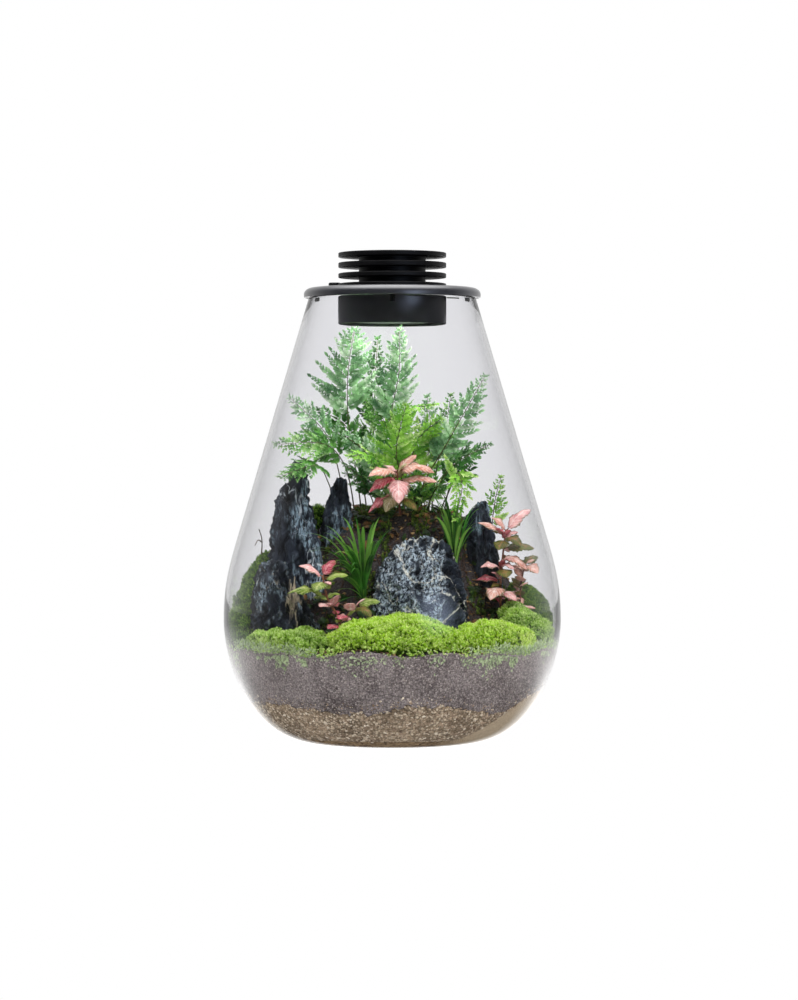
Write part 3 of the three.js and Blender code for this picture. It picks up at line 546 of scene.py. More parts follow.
# The net of a leaf, from its uv: a midrib and side veins that sweep to the tip
def leafVeinGroup():
    group, given, out = newGroup(
        "leafVeins",
        [("Flat", "Vector", None), ("Pairs", "Float", 6.0), ("Sweep", "Float", 0.35),
         ("Width", "Float", 0.1)],
        [("Mask", "Float")],
    )
    flat = addNode(group, "ShaderNodeSeparateXYZ", {0: given["Flat"]})
    away = maths(group, "ABSOLUTE", flat.outputs[0])
    middle = mapped(group, away, 0.0, 0.12, 1.0, 0.0)
    swept = maths(group, "SUBTRACT", flat.outputs[1], maths(group, "MULTIPLY", away, given["Sweep"]))
    phase = maths(group, "FRACT", maths(group, "MULTIPLY", swept, given["Pairs"]))
    fromLine = maths(group, "ABSOLUTE", maths(group, "SUBTRACT", phase, 0.5))
    line = mapped(group, fromLine, 0.0, given["Width"], 1.0, 0.0)
    group.links.new(maths(group, "MAXIMUM", middle, line), out["Mask"])
    return group


mottle = mottleGroup()
grains = grainGroup()
mineralVeins = veinGroup()
leafVeins = leafVeinGroup()


def tint(code):
    parts = [int(code[i : i + 2], 16) / 255 for i in (0, 2, 4)]
    return (*[p / 12.92 if p <= 0.04045 else ((p + 0.055) / 1.055) ** 2.4 for p in parts], 1.0)


def newMaterial(name, **sockets):
    material = bpy.data.materials.new(name)
    material.use_nodes = True
    tree = material.node_tree
    skin = tree.nodes["Principled BSDF"]
    for label, value in sockets.items():
        skin.inputs[label].default_value = value
    place = addNode(tree, "ShaderNodeTexCoord").outputs["Object"]
    return material, tree, skin.inputs, place


def useGroup(tree, group, **inputs):
    return addNode(tree, "ShaderNodeGroup", inputs, node_tree=group).outputs


def bump(tree, height, distance, strength=1.0, under=None):
    inputs = {"Height": height, "Distance": distance, "Strength": strength}
    if under is not None:
        inputs["Normal"] = under
    return addNode(tree, "ShaderNodeBump", inputs).outputs[0]


def stretched(tree, place, scale):
    return addNode(tree, "ShaderNodeMapping", {"Vector": place, "Scale": scale}).outputs[0]


def toneOf(tree):
    return addNode(tree, "ShaderNodeAttribute", attribute_name="tone").outputs["Fac"]


def setSurface(tree, shader):
    tree.links.new(shader, tree.nodes["Material Output"].inputs["Surface"])


# Lets a share of the light through a leaf
def shineThrough(tree, colour, share):
    through = addNode(tree, "ShaderNodeBsdfTranslucent", {"Color": colour}).outputs[0]
    setSurface(tree, mixShaders(tree, share, tree.nodes["Principled BSDF"].outputs[0], through))


# A finish that changes softly between two colours
def cloudyMaterial(name, scale, dark, light, **sockets):
    material, tree, skin, place = newMaterial(name, **sockets)
    cloud = useGroup(tree, mottle, Place=place, Scale=scale, Dark=tint(dark), Light=tint(light))
    tree.links.new(cloud["Colour"], skin["Base Color"])
    return material, tree, skin, place


# A leaf's uv and how far a point lies from the midrib
def leafPlan(tree):
    flat = addNode(tree, "ShaderNodeUVMap", uv_map="leaf").outputs[0]
    across = addNode(tree, "ShaderNodeSeparateXYZ", {0: flat}).outputs[0]
    return flat, maths(tree, "ABSOLUTE", across)


# Floor


def addFloor():
    plate = studio["floor"]
    bpy.ops.mesh.primitive_circle_add(
        vertices=96, radius=plate["width"] / 2, fill_type="NGON", location=(0, 0, 0)
    )
    floor = bpy.context.object
    floor.name = "floor"
    pick(floor)
    floor.location.z = -plate["drop"] * mm
    bpy.ops.object.transform_apply(location=True)
    material, tree, _, place = newMaterial("paleFloor")
    path = addNode(tree, "ShaderNodeLightPath")
    away = addNode(tree, "ShaderNodeVectorMath", {0: place}, operation="LENGTH").outputs["Value"]
    # Painted shadow: for all rays but the camera's, the floor's light falls to the dark value under the
    # jar
    under = mapped(tree, away, *plate["paintedShadowReach"], plate["dark"], studio["seen"])
    straight = mapped(tree, path.outputs["Glossy Depth"], 0.4, 0.6, 1.0, plate["remirrored"])
    shaded = maths(tree, "MULTIPLY", under, straight)
    strength = maths(tree, "MAXIMUM", path.outputs["Is Camera Ray"], shaded)
    setSurface(tree, emission(tree, white, strength))
    floor.data.materials.append(material)
    floor.visible_glossy = False


addFloor()
addSurround()


# Glass jar

jar = {
    "base": 56, "belly": 125, "bellyHeight": 91.5, "coneStart": 158.6, "coneRadius": 112.9,
    "rim": 62.3, "height": 330, "wall": 3, "floor": 5, "gap": 0.3, "leafGap": 0.6, "steps": 256,
}


def bezier(a, b, c, d, t):
    s = 1 - t
    at = a * s**3 + 3 * b * s * s * t + 3 * c * s * t * t + d * t**3
    along = 3 * s * s * (b - a) + 6 * s * t * (c - b) + 3 * t * t * (d - c)
    return at, along.normalized()


# The wall's line from the foot to the rim, set inwards by the glass and a further distance.
def wallLine(inner, extra=0.0, floor=jar["floor"]):
    belly, bellyHeight = jar["belly"], jar["bellyHeight"]
    slope = (jar["coneRadius"] - jar["rim"]) / (jar["height"] - jar["coneStart"])
    heel = [(jar["base"], 0), (jar["base"] + 50, 0), (belly, bellyHeight - 31), (belly, bellyHeight)]
    shoulder = [
        (belly, bellyHeight),
        (belly, bellyHeight + 27.6),
        (jar["coneRadius"] + 25 * slope, jar["coneStart"] - 25),
        (jar["coneRadius"], jar["coneStart"]),
    ]
    rimStart = Vector((jar["rim"], jar["height"] - jar["wall"] / 2))
    line = []

    def put(at, along, glass):
        inset = glass + extra if inner else 0
        line.append((at.x - along.y * inset, at.y + along.x * inset))

    for points, steps, thick in ((heel, 26, floor), (shoulder, 14, jar["wall"])):
        corners = [Vector(p) for p in points]
        for i in range(steps):
            t = i / steps
            at, along = bezier(*corners, t)
            put(at, along, thick + (jar["wall"] - thick) * t)
    coneStart = Vector((jar["coneRadius"], jar["coneStart"]))
    for i in range(9):
        put(coneStart.lerp(rimStart, i / 8), (rimStart - coneStart).normalized(), jar["wall"])
    return line


roomLine = wallLine(True, jar["gap"])


def roomRadius(z):
    return float(np.interp(z, [p[1] for p in roomLine], [p[0] for p in roomLine]))


# Whether a point in millimetres is inside the glass by a margin
def insideGlass(x, y, z, margin=0.4):
    return math.hypot(x, y) < roomRadius(z) - margin and z > jar["floor"] + 0.5


# Moves what would pass through the glass back to its inside
def fitInGlass(mesh, margin):
    points = np.empty(len(mesh.vertices) * 3, dtype=np.float32)
    mesh.vertices.foreach_get("co", points)
    points = points.reshape(-1, 3)
    reach = np.hypot(points[:, 0], points[:, 1])
    heights, radii = [p[1] * mm for p in roomLine], [p[0] * mm for p in roomLine]
    most = np.interp(points[:, 2], heights, radii) - margin * mm
    over = reach > most
    points[over, :2] *= (most / np.maximum(reach, 1e-6))[over, None]
    reshape(mesh, points)


def glassMaterial():
    material, tree, skin, place = newMaterial(
        "jarGlass",
        **{"Base Color": tint("f8f8fa"), "Roughness": 0.0, "IOR": 1.46, "Transmission Weight": 1.0},
    )
    film = noiseOf(tree, place, 14.0, 2.0)
    tree.links.new(bump(tree, film, 0.0006, 0.08), skin["Normal"])
    clear = addNode(tree, "ShaderNodeBsdfTransparent", {"Color": (0.97, 0.975, 0.98, 1)}).outputs[0]
    path = addNode(tree, "ShaderNodeLightPath")
    passing = maths(tree, "MAXIMUM", path.outputs["Is Shadow Ray"], path.outputs["Is Diffuse Ray"])
    setSurface(tree, mixShaders(tree, passing, tree.nodes["Principled BSDF"].outputs[0], clear))
    return material


def makeJar():
    outside, inside = wallLine(False), wallLine(True)
    lip = []
    (outX, outZ), (inX, inZ) = outside[-1], inside[-1]
    middle = ((outX + inX) / 2, (outZ + inZ) / 2)
    half = (outX - inX) / 2
    for i in range(1, 6):
        angle = math.pi * i / 6
        lip.append((middle[0] + half * math.cos(angle), middle[1] + 0.9 + half * math.sin(angle) * 0.6))
    floorSteps = [(jar["base"] * i / 8, 0) for i in range(8)]
    floorInside = [(jar["base"] * i / 8, jar["floor"]) for i in range(7, -1, -1)]
    profile = [*floorSteps, *outside, *lip, *reversed(inside), *floorInside]
    piece = turned(profile, jar["steps"])
    smoothShade(piece, 50)
    finish(piece, "jarGlassWall", [glassMaterial()], "jar_glass", "glass_jar")


makeJar()
print("jar done")


# Lid, lamp and heat sink

lamp = {
    "lidRadius": 65.6, "lidThickness": 6.7, "stub": 20.2, "plate": 40, "plateThickness": 3,
    "core": 24.75, "housing": 40.1, "housingHeight": 20.4, "lens": 37.6, "lensThickness": 1.8,
    "fins": [(344.6, 347.8), (352.1, 355.7), (359.7, 363.1)],
    "boardTop": 322, "steps": 128, "pinHeight": 326, "pinLength": 9.4,
    "pinRadius": 0.8, "pegCircle": 56, "pegRadius": 2, "pegLength": 6, "inlet": (-43, 20),
    "inletRadius": 4.6, "inletHeight": 4.8, "mouthRadius": 1.5, "mouthDepth": 4, "wireTurn": (-13, 6),
}
lidBottom = jar["height"] + jar["gap"]
lidTop = lidBottom + lamp["lidThickness"]
plateBottom = lidTop + jar["gap"]
housingBottom = jar["height"] - lamp["housingHeight"]
lensTop = housingBottom + 3.7 - jar["gap"]


def blackCoat(name, roughness, grain, dark="08090b", light="0d0e12", shine=0.5, coat=0.0):
    material, tree, skin, place = cloudyMaterial(
        name, 38.0, dark, light,
        **{"IOR": 1.6, "Specular IOR Level": shine, "Coat Weight": coat, "Coat Roughness": 0.3},
    )
    wear = noiseOf(tree, place, 90.0, 6.0)
    tree.links.new(mapped(tree, wear, 0.3, 0.7, roughness - 0.06, roughness + 0.07), skin["Roughness"])
    tree.links.new(bump(tree, noiseOf(tree, place, 2600.0, 2.0), grain, 0.5), skin["Normal"])
    return material


def lensMaterial():
    material, tree, skin, place = cloudyMaterial(
        "frostedLens", 60.0, "a3b0a6", "b9c4ba",
        **{"Roughness": 0.35, "Subsurface Weight": 0.3, "Subsurface Scale": 0.004},
    )
    skin["Subsurface Radius"].default_value = (1, 1, 1)
    frost = useGroup(tree, grains, Place=place, Scale=700.0)
    tree.links.new(bump(tree, frost["Height"], 0.0002, 0.4), skin["Normal"])
    return material


# Profile points on a quarter of an ellipse, from the angle start. Skip leaves out the first ones.
def quarter(x, z, wide, tall, start, steps, skip=0):
    angles = [start + (math.pi / 2) * i / steps for i in range(skip, steps + 1)]
    return [(x + wide * math.cos(angle), z + tall * math.sin(angle)) for angle in angles]


# The rim of a disc, with both its edges rounded
def roundedRim(radius, low, high, edge, steps):
    lower = quarter(radius - edge, low + edge, edge, edge, -math.pi / 2, steps, 1)
    upper = quarter(radius - edge, high - edge, edge, edge, 0, steps)
    return [(radius - edge, low), *lower, *upper]


def finishTurned(line, name, coat, slot, node, ring=False):
    piece = turned(line, lamp["steps"], ring)
    smoothShade(piece, 40)
    finish(piece, name, [coat], slot, node)


def makeLid(coat):
    edge, bore, pocket = lamp["lidRadius"], lamp["stub"] + 0.4, 0.25
    line = [(bore, lidBottom), (edge - 2.2, lidBottom), (edge - 1.7, lidBottom - 0.7)]
    line += [(edge - 0.7, lidBottom - 0.75), (edge - 0.15, lidBottom - 0.4)]
    line += quarter(edge - 6, lidTop - 5, 6, 5, 0, 10)
    line += [(lamp["plate"] + 1.6, lidTop), (lamp["plate"] + 1.2, lidTop - pocket)]
    line.append((bore, lidTop - pocket))
    finishTurned(line, "lidDisc", coat, "black_metal", "lid", ring=True)


def makeHeatSink(coat):
    core, neck = lamp["core"], lamp["stub"]
    foot, top = lamp["boardTop"] + jar["gap"], lamp["fins"][-1][1]
    line = [(0, foot), (neck - 0.5, foot), (neck, foot + 0.5), (neck, plateBottom)]
    for low, high in [(plateBottom, plateBottom + lamp["plateThickness"]), *lamp["fins"]]:
        line.append((core if low > plateBottom else neck, low))
        line += roundedRim(lamp["plate"], low, high, 0.6, 3)
        if high < top:
            line.append((core, high))
    line.append((0, top))
    finishTurned(line, "heatSinkFins", coat, "black_metal", "heat_sink")


def makeHousing(coat):
    top, ceiling, inner = jar["height"], jar["height"] - 2.7, lamp["lens"] - 1.6
    bore, out, seat = lamp["stub"] + jar["gap"], lamp["housing"], lensTop + jar["gap"]
    lensHole = lamp["lens"] + jar["gap"]
    line = [(bore, ceiling), (inner, ceiling), (inner, seat), (lensHole, seat)]
    line += [(lensHole, housingBottom + 0.4), (lensHole + 0.4, housingBottom)]
    line += [(out - 0.7, housingBottom), (out - 0.2, housingBottom + 0.2), (out, housingBottom + 0.7)]
    line += [*quarter(out - 1.6, top - 1.6, 1.6, 1.6, 0, 5), (bore, top)]
    finishTurned(line, "lampHousingRing", coat, "black_metal", "lamp_housing", ring=True)


def makeLens():
    bottom = lensTop - lamp["lensThickness"]
    line = [(0, bottom), *roundedRim(lamp["lens"], bottom, lensTop, 0.35, 4), (0, lensTop)]
    finishTurned(line, "lampLensDisc", lensMaterial(), "lens", "lamp_lens")


# A cylinder lying along an angle in plan or standing, with rounded ends
def rod(radius, length, at, angle=None, edge=0.2, sides=32):
    turn = (0, 0, 0) if angle is None else (0, math.pi / 2, angle)
    bpy.ops.mesh.primitive_cylinder_add(
        vertices=sides, radius=radius * mm, depth=length * mm,
        location=[c * mm for c in at], rotation=turn,
    )
    piece = bpy.context.object
    bpy.ops.object.transform_apply(location=True, rotation=True, scale=True)
    modify(piece, "BEVEL", width=edge * mm, segments=3, limit_method="ANGLE", angle_limit=0.6)
    smoothShade(piece, 35)
    return piece


def makeSmallParts(coat, rubber, plastic):
    pinMiddle = lamp["housing"] + jar["gap"] + lamp["pinLength"] / 2
    pin = rod(lamp["pinRadius"], lamp["pinLength"], (pinMiddle, 0, lamp["pinHeight"]), angle=0)
    finish(pin, "sidePin", [coat], "black_metal", "lamp_side_pin")
    pegMiddle = lidBottom - jar["gap"] - lamp["pegLength"] / 2
    for i in range(4):
        angle = i * math.pi / 2
        at = (lamp["pegCircle"] * math.cos(angle), lamp["pegCircle"] * math.sin(angle), pegMiddle)
        peg = rod(lamp["pegRadius"], lamp["pegLength"], at, edge=0.6)
        finish(peg, f"lidPeg{i + 1}", [rubber], "peg_rubber", f"lid_peg_{i + 1}")

    # The gland, with a dark mouth for the supply lead on its outer side
    x, y = lamp["inlet"]
    middle = plateBottom + lamp["inletHeight"] / 2
    gland = rod(lamp["inletRadius"], lamp["inletHeight"], (x, y, middle), edge=0.9)
    outward = math.atan2(y - lamp["wireTurn"][1], x - lamp["wireTurn"][0])
    reach = 4.2
    at = (x + reach * math.cos(outward), y + reach * math.sin(outward), middle)
    mouth = rod(lamp["mouthRadius"], lamp["mouthDepth"], at, angle=outward, edge=0.1)
    modify(gland, "BOOLEAN", operation="DIFFERENCE", object=mouth)
    bpy.data.objects.remove(mouth)
    finish(gland, "inletGland", [plastic], "black_plastic", "power_inlet")


def boardMaterial():
    material, tree, skin, place = newMaterial("whiteBoard", Roughness=0.4)
    chips = addNode(
        tree, "ShaderNodeTexVoronoi", {"Vector": place, "Scale": 220.0, "Randomness": 0.0},
        distance="CHEBYCHEV",
    )
    chip = mapped(tree, chips.outputs["Distance"], 0.24, 0.26)
    colour = mixColours(tree, chip, tint("f0d98a"), tint("ecece6"))
    tree.links.new(colour, skin["Base Color"])
    tree.links.new(bump(tree, chip, 0.0003, 0.6), skin["Normal"])
    return material


def dressNode(node, material):
    mesh = frame["nodes"][node].data
    mesh.materials.clear()
    mesh.materials.append(material)


satin = blackCoat("satinBlack", 0.36, 0.00003, "1c1d23", "292a31", 1.0, 1.0)
makeLid(satin)
makeHeatSink(blackCoat("sinkBlack", 0.5, 0.00004, "060607", "0a0a0c", 0.25))
makeHousing(satin)
makeLens()
makeSmallParts(
    satin, blackCoat("pegRubber", 0.6, 0.00005), blackCoat("glandPlastic", 0.5, 0.00005)
)
steel = cloudyMaterial("screwSteel", 400.0, "9a9ba0", "c4c5c8", **{"Metallic": 1.0, "Roughness": 0.3})[0]
for number in (1, 2, 3):
    dressNode(f"board_screw_{number}", steel)
dressNode("led_board", boardMaterial())
dressNode("supply_wire", cloudyMaterial("redWire", 300.0, "7c1c16", "9c2a22", Roughness=0.45)[0])
print("lamp done")


# Sand, gravel and soil

ground = {
    "spokes": 420, "press": 0.4, "seenFloor": 1.6,
    "pebbles": {"count": 4600, "size": (0.5, 2.3)},
    "strays": {"count": 900, "size": (0.6, 1.6), "above": 7},  # gravel grains in the soil
    "crumbs": {"count": 5600, "size": (0.35, 1.5)},
    "litter": {"count": 2300, "length": (0.9, 3.6), "width": (0.6, 1.9), "thick": (0.3, 0.8)},
    "rootlets": {"count": 260, "step": 2.3, "thick": (0.15, 0.32)},
}
sand = {"thin": 2.3, "heap": 33, "from": 38, "to": 108, "middle": -12, "spread": 85}
gravel = {"height": 31, "ragged": 3.2, "waves": (2, 17, 1.5, 14, 29)}
hill = {"front": 72, "height": 98, "middle": -4, "width": 98, "foot": -60, "top": 20, "back": (45, 120)}


def sandTop(x, y):
    along = smooth(sand["from"], sand["to"], x)
    across = math.exp(-(((y - sand["middle"]) / sand["spread"]) ** 4))
    return jar["floor"] + sand["thin"] + sand["heap"] * (along * across)


def gravelTop(x, y):
    ragged = noise.noise(Vector((x / 7, y / 7, 3))) + 0.7 * noise.noise(Vector((x / 2.4, y / 2.4, 3)))
    ragged *= gravel["ragged"]
    high, long, cross, deep, skew = gravel["waves"]
    return gravel["height"] + high * math.sin(x / long) + cross * math.cos(y / deep + x / skew) + ragged


def gravelOrSand(x, y):
    return max(sandTop(x, y), gravelTop(x, y))


# The soil is low in front and rises to a hill, later on both sides, and falls again at the back
def soilTop(x, y):
    across = math.exp(-(abs((x - hill["middle"]) / hill["width"]) ** 5))
    right = smooth(40, 75, x)
    left = smooth(30, 55, -x)
    rise = smooth(hill["foot"] + 5 * right + 15 * left, hill["top"] + 40 * right + 10 * left, y)
    back = 1 - 0.46 * smooth(*hill["back"], y)
    bumps = 1.2 * math.sin(x / 9 + y / 13) + 0.8 * math.cos(x / 15 - y / 8)
    return hill["front"] + hill["height"] * across * rise * back + bumps


# Earth presses on the glass, a hair into it, so that no air shows between them
earthLine = wallLine(True, -ground["press"], floor=ground["seenFloor"])


def glassFloor(x, y):
    return ground["seenFloor"] - ground["press"]


def wallRadius(z):
    return float(np.interp(z, [p[1] for p in earthLine], [p[0] for p in earthLine]))


# How far out a height over the plan meets the glass, in one direction
def meeting(height, dx, dy):
    z = height(60 * dx, 60 * dy)
    for _ in range(6):
        r = wallRadius(z)
        z = height(r * dx, r * dy)
    return wallRadius(z), z


# One closed skin: a floor, a wall against the glass and a top
def layerPiece(bottom, top, rings, rows, rough):
    spokes = ground["spokes"]
    points, tones = [], []

    def put(r, dx, dy, z, lift=0.0, inset=0.0, tone=0.0):
        grit = noise.noise(Vector((r * dx, r * dy, z)) / 1.9)
        r -= inset * (0.5 + 0.5 * grit)
        points.append((r * dx * mm, r * dy * mm, (z + lift * grit) * mm))
        tones.append(tone)

    for s in range(spokes):
        angle = 2 * math.pi * s / spokes
        dx, dy = math.cos(angle), math.sin(angle)
        (lowR, lowZ), (highR, highZ) = meeting(bottom, dx, dy), meeting(top, dx, dy)
        for i in range(rings):
            r = lowR * i / rings
            put(r, dx, dy, bottom(r * dx, r * dy))
        for i in range(rows + 1):
            z = lowZ + (highZ - lowZ) * i / rows
            # The wall against the glass gets tone 1 and the floor and top tone 0; the soil's colour
            # darkens tone 0 as painted shade
            put(wallRadius(z), dx, dy, z, inset=0.3, tone=1.0)
        for i in range(rings - 1, -1, -1):
            r = highR * i / rings
            put(r, dx, dy, top(r * dx, r * dy), lift=rough)
    line = len(points) // spokes
    skin = []
    for s in range(spokes):
        a, b = s * line, ((s + 1) % spokes) * line
        skin += [(a + i, b + i, b + i + 1, a + i + 1) for i in range(line - 1)]
    piece = pieceOf("layer", [{"points": np.array(points), "faces": np.array(skin), "tone": tones}])
    mergePoints(piece, 0.001, outwards=True)
    return piece


def shapeOf(piece):
    points = np.array([vertex.co for vertex in piece.data.vertices])
    faces = np.array([tuple(face.vertices) for face in piece.data.polygons])
    bpy.data.objects.remove(piece)
    return {"points": points, "faces": faces}


# A broken grain, one unit in radius
def grainShape():
    bpy.ops.mesh.primitive_ico_sphere_add(subdivisions=1, radius=1, location=(0, 0, 0))
    shape = shapeOf(bpy.context.object)
    shape["points"] = shape["points"] * np.random.uniform(0.72, 1.18, (len(shape["points"]), 1))
    return shape


def anyTurn():
    axis = Vector((draw(-1, 1), draw(-1, 1), draw(-1, 1))).normalized()
    return Matrix.Rotation(draw(0, 6.283), 4, axis)


# Grains against the glass, between two heights over the plan
def wallGrains(kind, low, high):
    places = []
    small, large = kind["size"]
    for _ in range(kind["count"]):
        angle = draw(0, 2 * math.pi)
        dx, dy = math.cos(angle), math.sin(angle)
        share, z = draw(0, 1), 30.0
        for _ in range(4):
            x, y = wallRadius(z) * dx, wallRadius(z) * dy
            z = low(x, y) + share * (high(x, y) - low(x, y))
        size = small + (large - small) * draw(0, 1) ** 2.2
        r = wallRadius(z) - size * draw(0.45, 0.9)
        scale = Matrix.Diagonal((size, size * draw(0.65, 1), size * draw(0.6, 0.9), 1))
        place = Matrix.Translation((r * dx * mm, r * dy * mm, z * mm))
        places.append(place @ Matrix.Scale(mm, 4) @ anyTurn() @ scale)
    return places


def grainMaterial(name, dark, middle, light, scale, height, spread=16.0, inside=1.0):
    material, tree, skin, place = newMaterial(name, **{"Roughness": 0.85, "Specular IOR Level": 0.3})
    packed = useGroup(tree, grains, Place=place, Scale=scale)
    broad = useGroup(tree, mottle, Place=place, Scale=spread, Low=0.3, High=0.7,
                     Dark=tint(dark), Light=tint(middle))
    own = maths(tree, "POWER", packed["Tone"], 3.0)
    colour = mixColours(tree, own, broad["Colour"], tint(light))
    shadow = mapped(tree, packed["Height"], 0.0, 0.5, 0.45, 1.0)
    colour = mixColours(tree, 1.0, colour, shadow, "MULTIPLY")
    # Painted shade: points away from the glass, with a low tone, are darkened down to the share inside
    paintedShadeAwayFromGlass = mapped(tree, toneOf(tree), 0.0, 1.0, inside, 1.0)
    colour = mixColours(tree, 1.0, colour, paintedShadeAwayFromGlass, "MULTIPLY")
    tree.links.new(colour, skin["Base Color"])
    tree.links.new(bump(tree, packed["Height"], height), skin["Normal"])
    return material


# Sand, brown where it lies thin on the floor
def stainedSand():
    material = grainMaterial("sandGrains", "b09a7c", "c2ad90", "d6c5ab", 2200.0, 0.0001)
    tree = material.node_tree
    skin = tree.nodes["Principled BSDF"].inputs
    place = addNode(tree, "ShaderNodeTexCoord").outputs["Object"]
    across = addNode(tree, "ShaderNodeSeparateXYZ", {0: place}).outputs[0]
    stain = mapped(tree, across, 0.03, 0.055, 1.0, 0.0)
    clean = skin["Base Color"].links[0].from_socket
    cells = useGroup(tree, grains, Place=place, Scale=600.0)
    brown = mixColours(tree, cells["Tone"], tint("4a3a2c"), tint("9c8262"))
    tree.links.new(mixColours(tree, stain, clean, brown), skin["Base Color"])
    return material


# Loose grains, each with its own tone
def looseMaterial(name, dark, middle, light, roughness=0.8):
    material, tree, skin, place = newMaterial(name, Roughness=roughness)
    own = toneOf(tree)
    low = mixColours(tree, mapped(tree, own, 0.0, 0.6), tint(dark), tint(middle))
    colour = mixColours(tree, mapped(tree, own, 0.6, 1.0), low, tint(light))
    speck = noiseOf(tree, place, 1400.0, 3.0)
    spotted = mixColours(tree, mapped(tree, speck, 0.4, 0.7, 0.0, 0.5), colour, tint("3b332d"))
    tree.links.new(spotted, skin["Base Color"])
    tree.links.new(bump(tree, speck, 0.0003, 0.6), skin["Normal"])
    return material


def overSand(x, y):
    return sandTop(x, y) + jar["gap"]


def overGravel(x, y):
    return gravelOrSand(x, y) + jar["gap"]


def makeSandAndGravel(grain, broken):
    wedge = layerPiece(glassFloor, sandTop, 20, 18, 0.25)
    finish(wedge, "sandWedge", [stainedSand()], "sand", "sand_layer")

    def atLeast(thick):
        return lambda x, y: max(overSand(x, y) + thick, gravelTop(x, y))

    bed = layerPiece(overSand, atLeast(0.2), 20, 22, 0.5)
    skin = grainMaterial("gravelGrains", "6a5a49", "ac967c", "dccab0", 560.0, 0.0008, spread=40.0)
    finish(bed, "gravelBed", [skin], "gravel", "gravel_layer")
    pebbles = wallGrains(ground["pebbles"], overSand, atLeast(0))
    strays = ground["strays"]
    strays = wallGrains(strays, gravelOrSand, lambda x, y: gravelOrSand(x, y) + strays["above"])
    loose = pieceOf(
        "pebbles", [copies(grain, pebbles[::2]), copies(broken, pebbles[1::2]), copies(grain, strays)]
    )
    stones = looseMaterial("gravelStones", "6e5a4a", "b79f85", "f0e2cc")
    finish(loose, "gravelPebbles", [stones], "gravel")


# Bits of bark and old leaf that lie on the soil
def litterPlaces():
    litter, chips = ground["litter"], []
    while len(chips) < litter["count"]:
        x, y = draw(-118, 118), draw(-118, 118)
        z = soilTop(x, y) + 0.4
        if insideGlass(x, y, z, 3):
            lean = Matrix.Rotation(draw(-0.5, 0.5), 4, "X") @ Matrix.Rotation(draw(0, 6.28), 4, "Z")
            size = [draw(*litter[side]) for side in ("length", "width", "thick")]
            place = Matrix.Translation((x * mm, y * mm, z * mm)) @ Matrix.Scale(mm, 4)
            chips.append(place @ lean @ Matrix.Diagonal((*size, 1)))
    return chips


# Fine roots that creep over the hill
def rootletParts():
    roots, parts = ground["rootlets"], []
    while len(parts) < roots["count"]:
        x, y, angle = draw(-70, 80), draw(-40, 70), draw(0, 2 * math.pi)
        line = []
        for i in range(9):
            line.append(Vector((x, y, soilTop(x, y) + 0.9 + 0.9 * math.sin(i * 0.8 + x))) * mm)
            angle += draw(-0.5, 0.5)
            x += roots["step"] * math.cos(angle)
            y += roots["step"] * math.sin(angle)
        parts.append(stalkOf(line, [draw(*roots["thick"]) * mm] * 9, 4, 2))
    return parts


def makeSoil(grain, broken):
    bed = layerPiece(overGravel, soilTop, 62, 30, 1.3)
    # inside=0.2 darkens the soil's top, away from the glass, as painted shade
    skin = grainMaterial(
        "soilGrains", "5a5150", "9a908f", "b0a5a1", 900.0, 0.0005, spread=34.0, inside=0.2
    )
    finish(bed, "soilBed", [skin], "soil", "soil")
    crumbs = wallGrains(ground["crumbs"], overGravel, soilTop)
    chips = litterPlaces()
    rootlets = rootletParts()
    loose = pieceOf(
        "crumbs",
        [*rootlets, copies(grain, crumbs[::2]), copies(broken, crumbs[1::2]), copies(broken, chips, 1)],
    )
    finishes = [
        looseMaterial("soilCrumbs", "4e4543", "817673", "9b8f89"),
        looseMaterial("leafLitter", "3a281a", "6c5436", "ac8e60"),
        looseMaterial("rootFibres", "2a1a10", "50341f", "80603e"),
    ]
    finish(loose, "soilCrumbsAndLitter", finishes, "soil")


roundGrain, brokenGrain = grainShape(), grainShape()
makeSandAndGravel(roundGrain, brokenGrain)
makeSoil(roundGrain, brokenGrain)
print("ground done")


# Rocks

rocks = {
    "spire_rock": {
        "cuts": 16, "voxel": 0.85, "upright": 0.1, "seed": 3, "stone": "slate",
        "waves": [(11, 2.6), (5, 1.9), (2.2, 1.0)],
    },
    "low_rock": {
        "cuts": 16, "voxel": 0.85, "upright": 0.3, "seed": 8, "stone": "banded",
        "waves": [(12, 2.2), (5.5, 1.7), (2.4, 1.0)],
    },
    "back_spire_rock": {
        "cuts": 12, "voxel": 0.8, "upright": 0.15, "seed": 5, "stone": "slate",
        "waves": [(9, 2), (4.5, 1.5), (2, 0.9)],
    },
    "boulder": {
        "cuts": 36, "voxel": 0.95, "upright": 0.9, "seed": 11, "stone": "pale",
        "faces": [
            ((0.8, -0.55, 0.2), 5.5), ((-0.4, -0.82, 0.4), 4), ((0.35, -0.2, 0.92), 4),
            ((-0.75, -0.2, 0.6), 3.5),
        ],
        "waves": [(15, 2.0), (6.5, 1.8), (2.8, 1.3)],
    },
    "slate_rock": {
        "cuts": 12, "voxel": 0.8, "upright": 0.2, "seed": 17, "stone": "slate",
        "waves": [(8, 1.8), (4, 1.4), (2, 0.9)],
    },
}


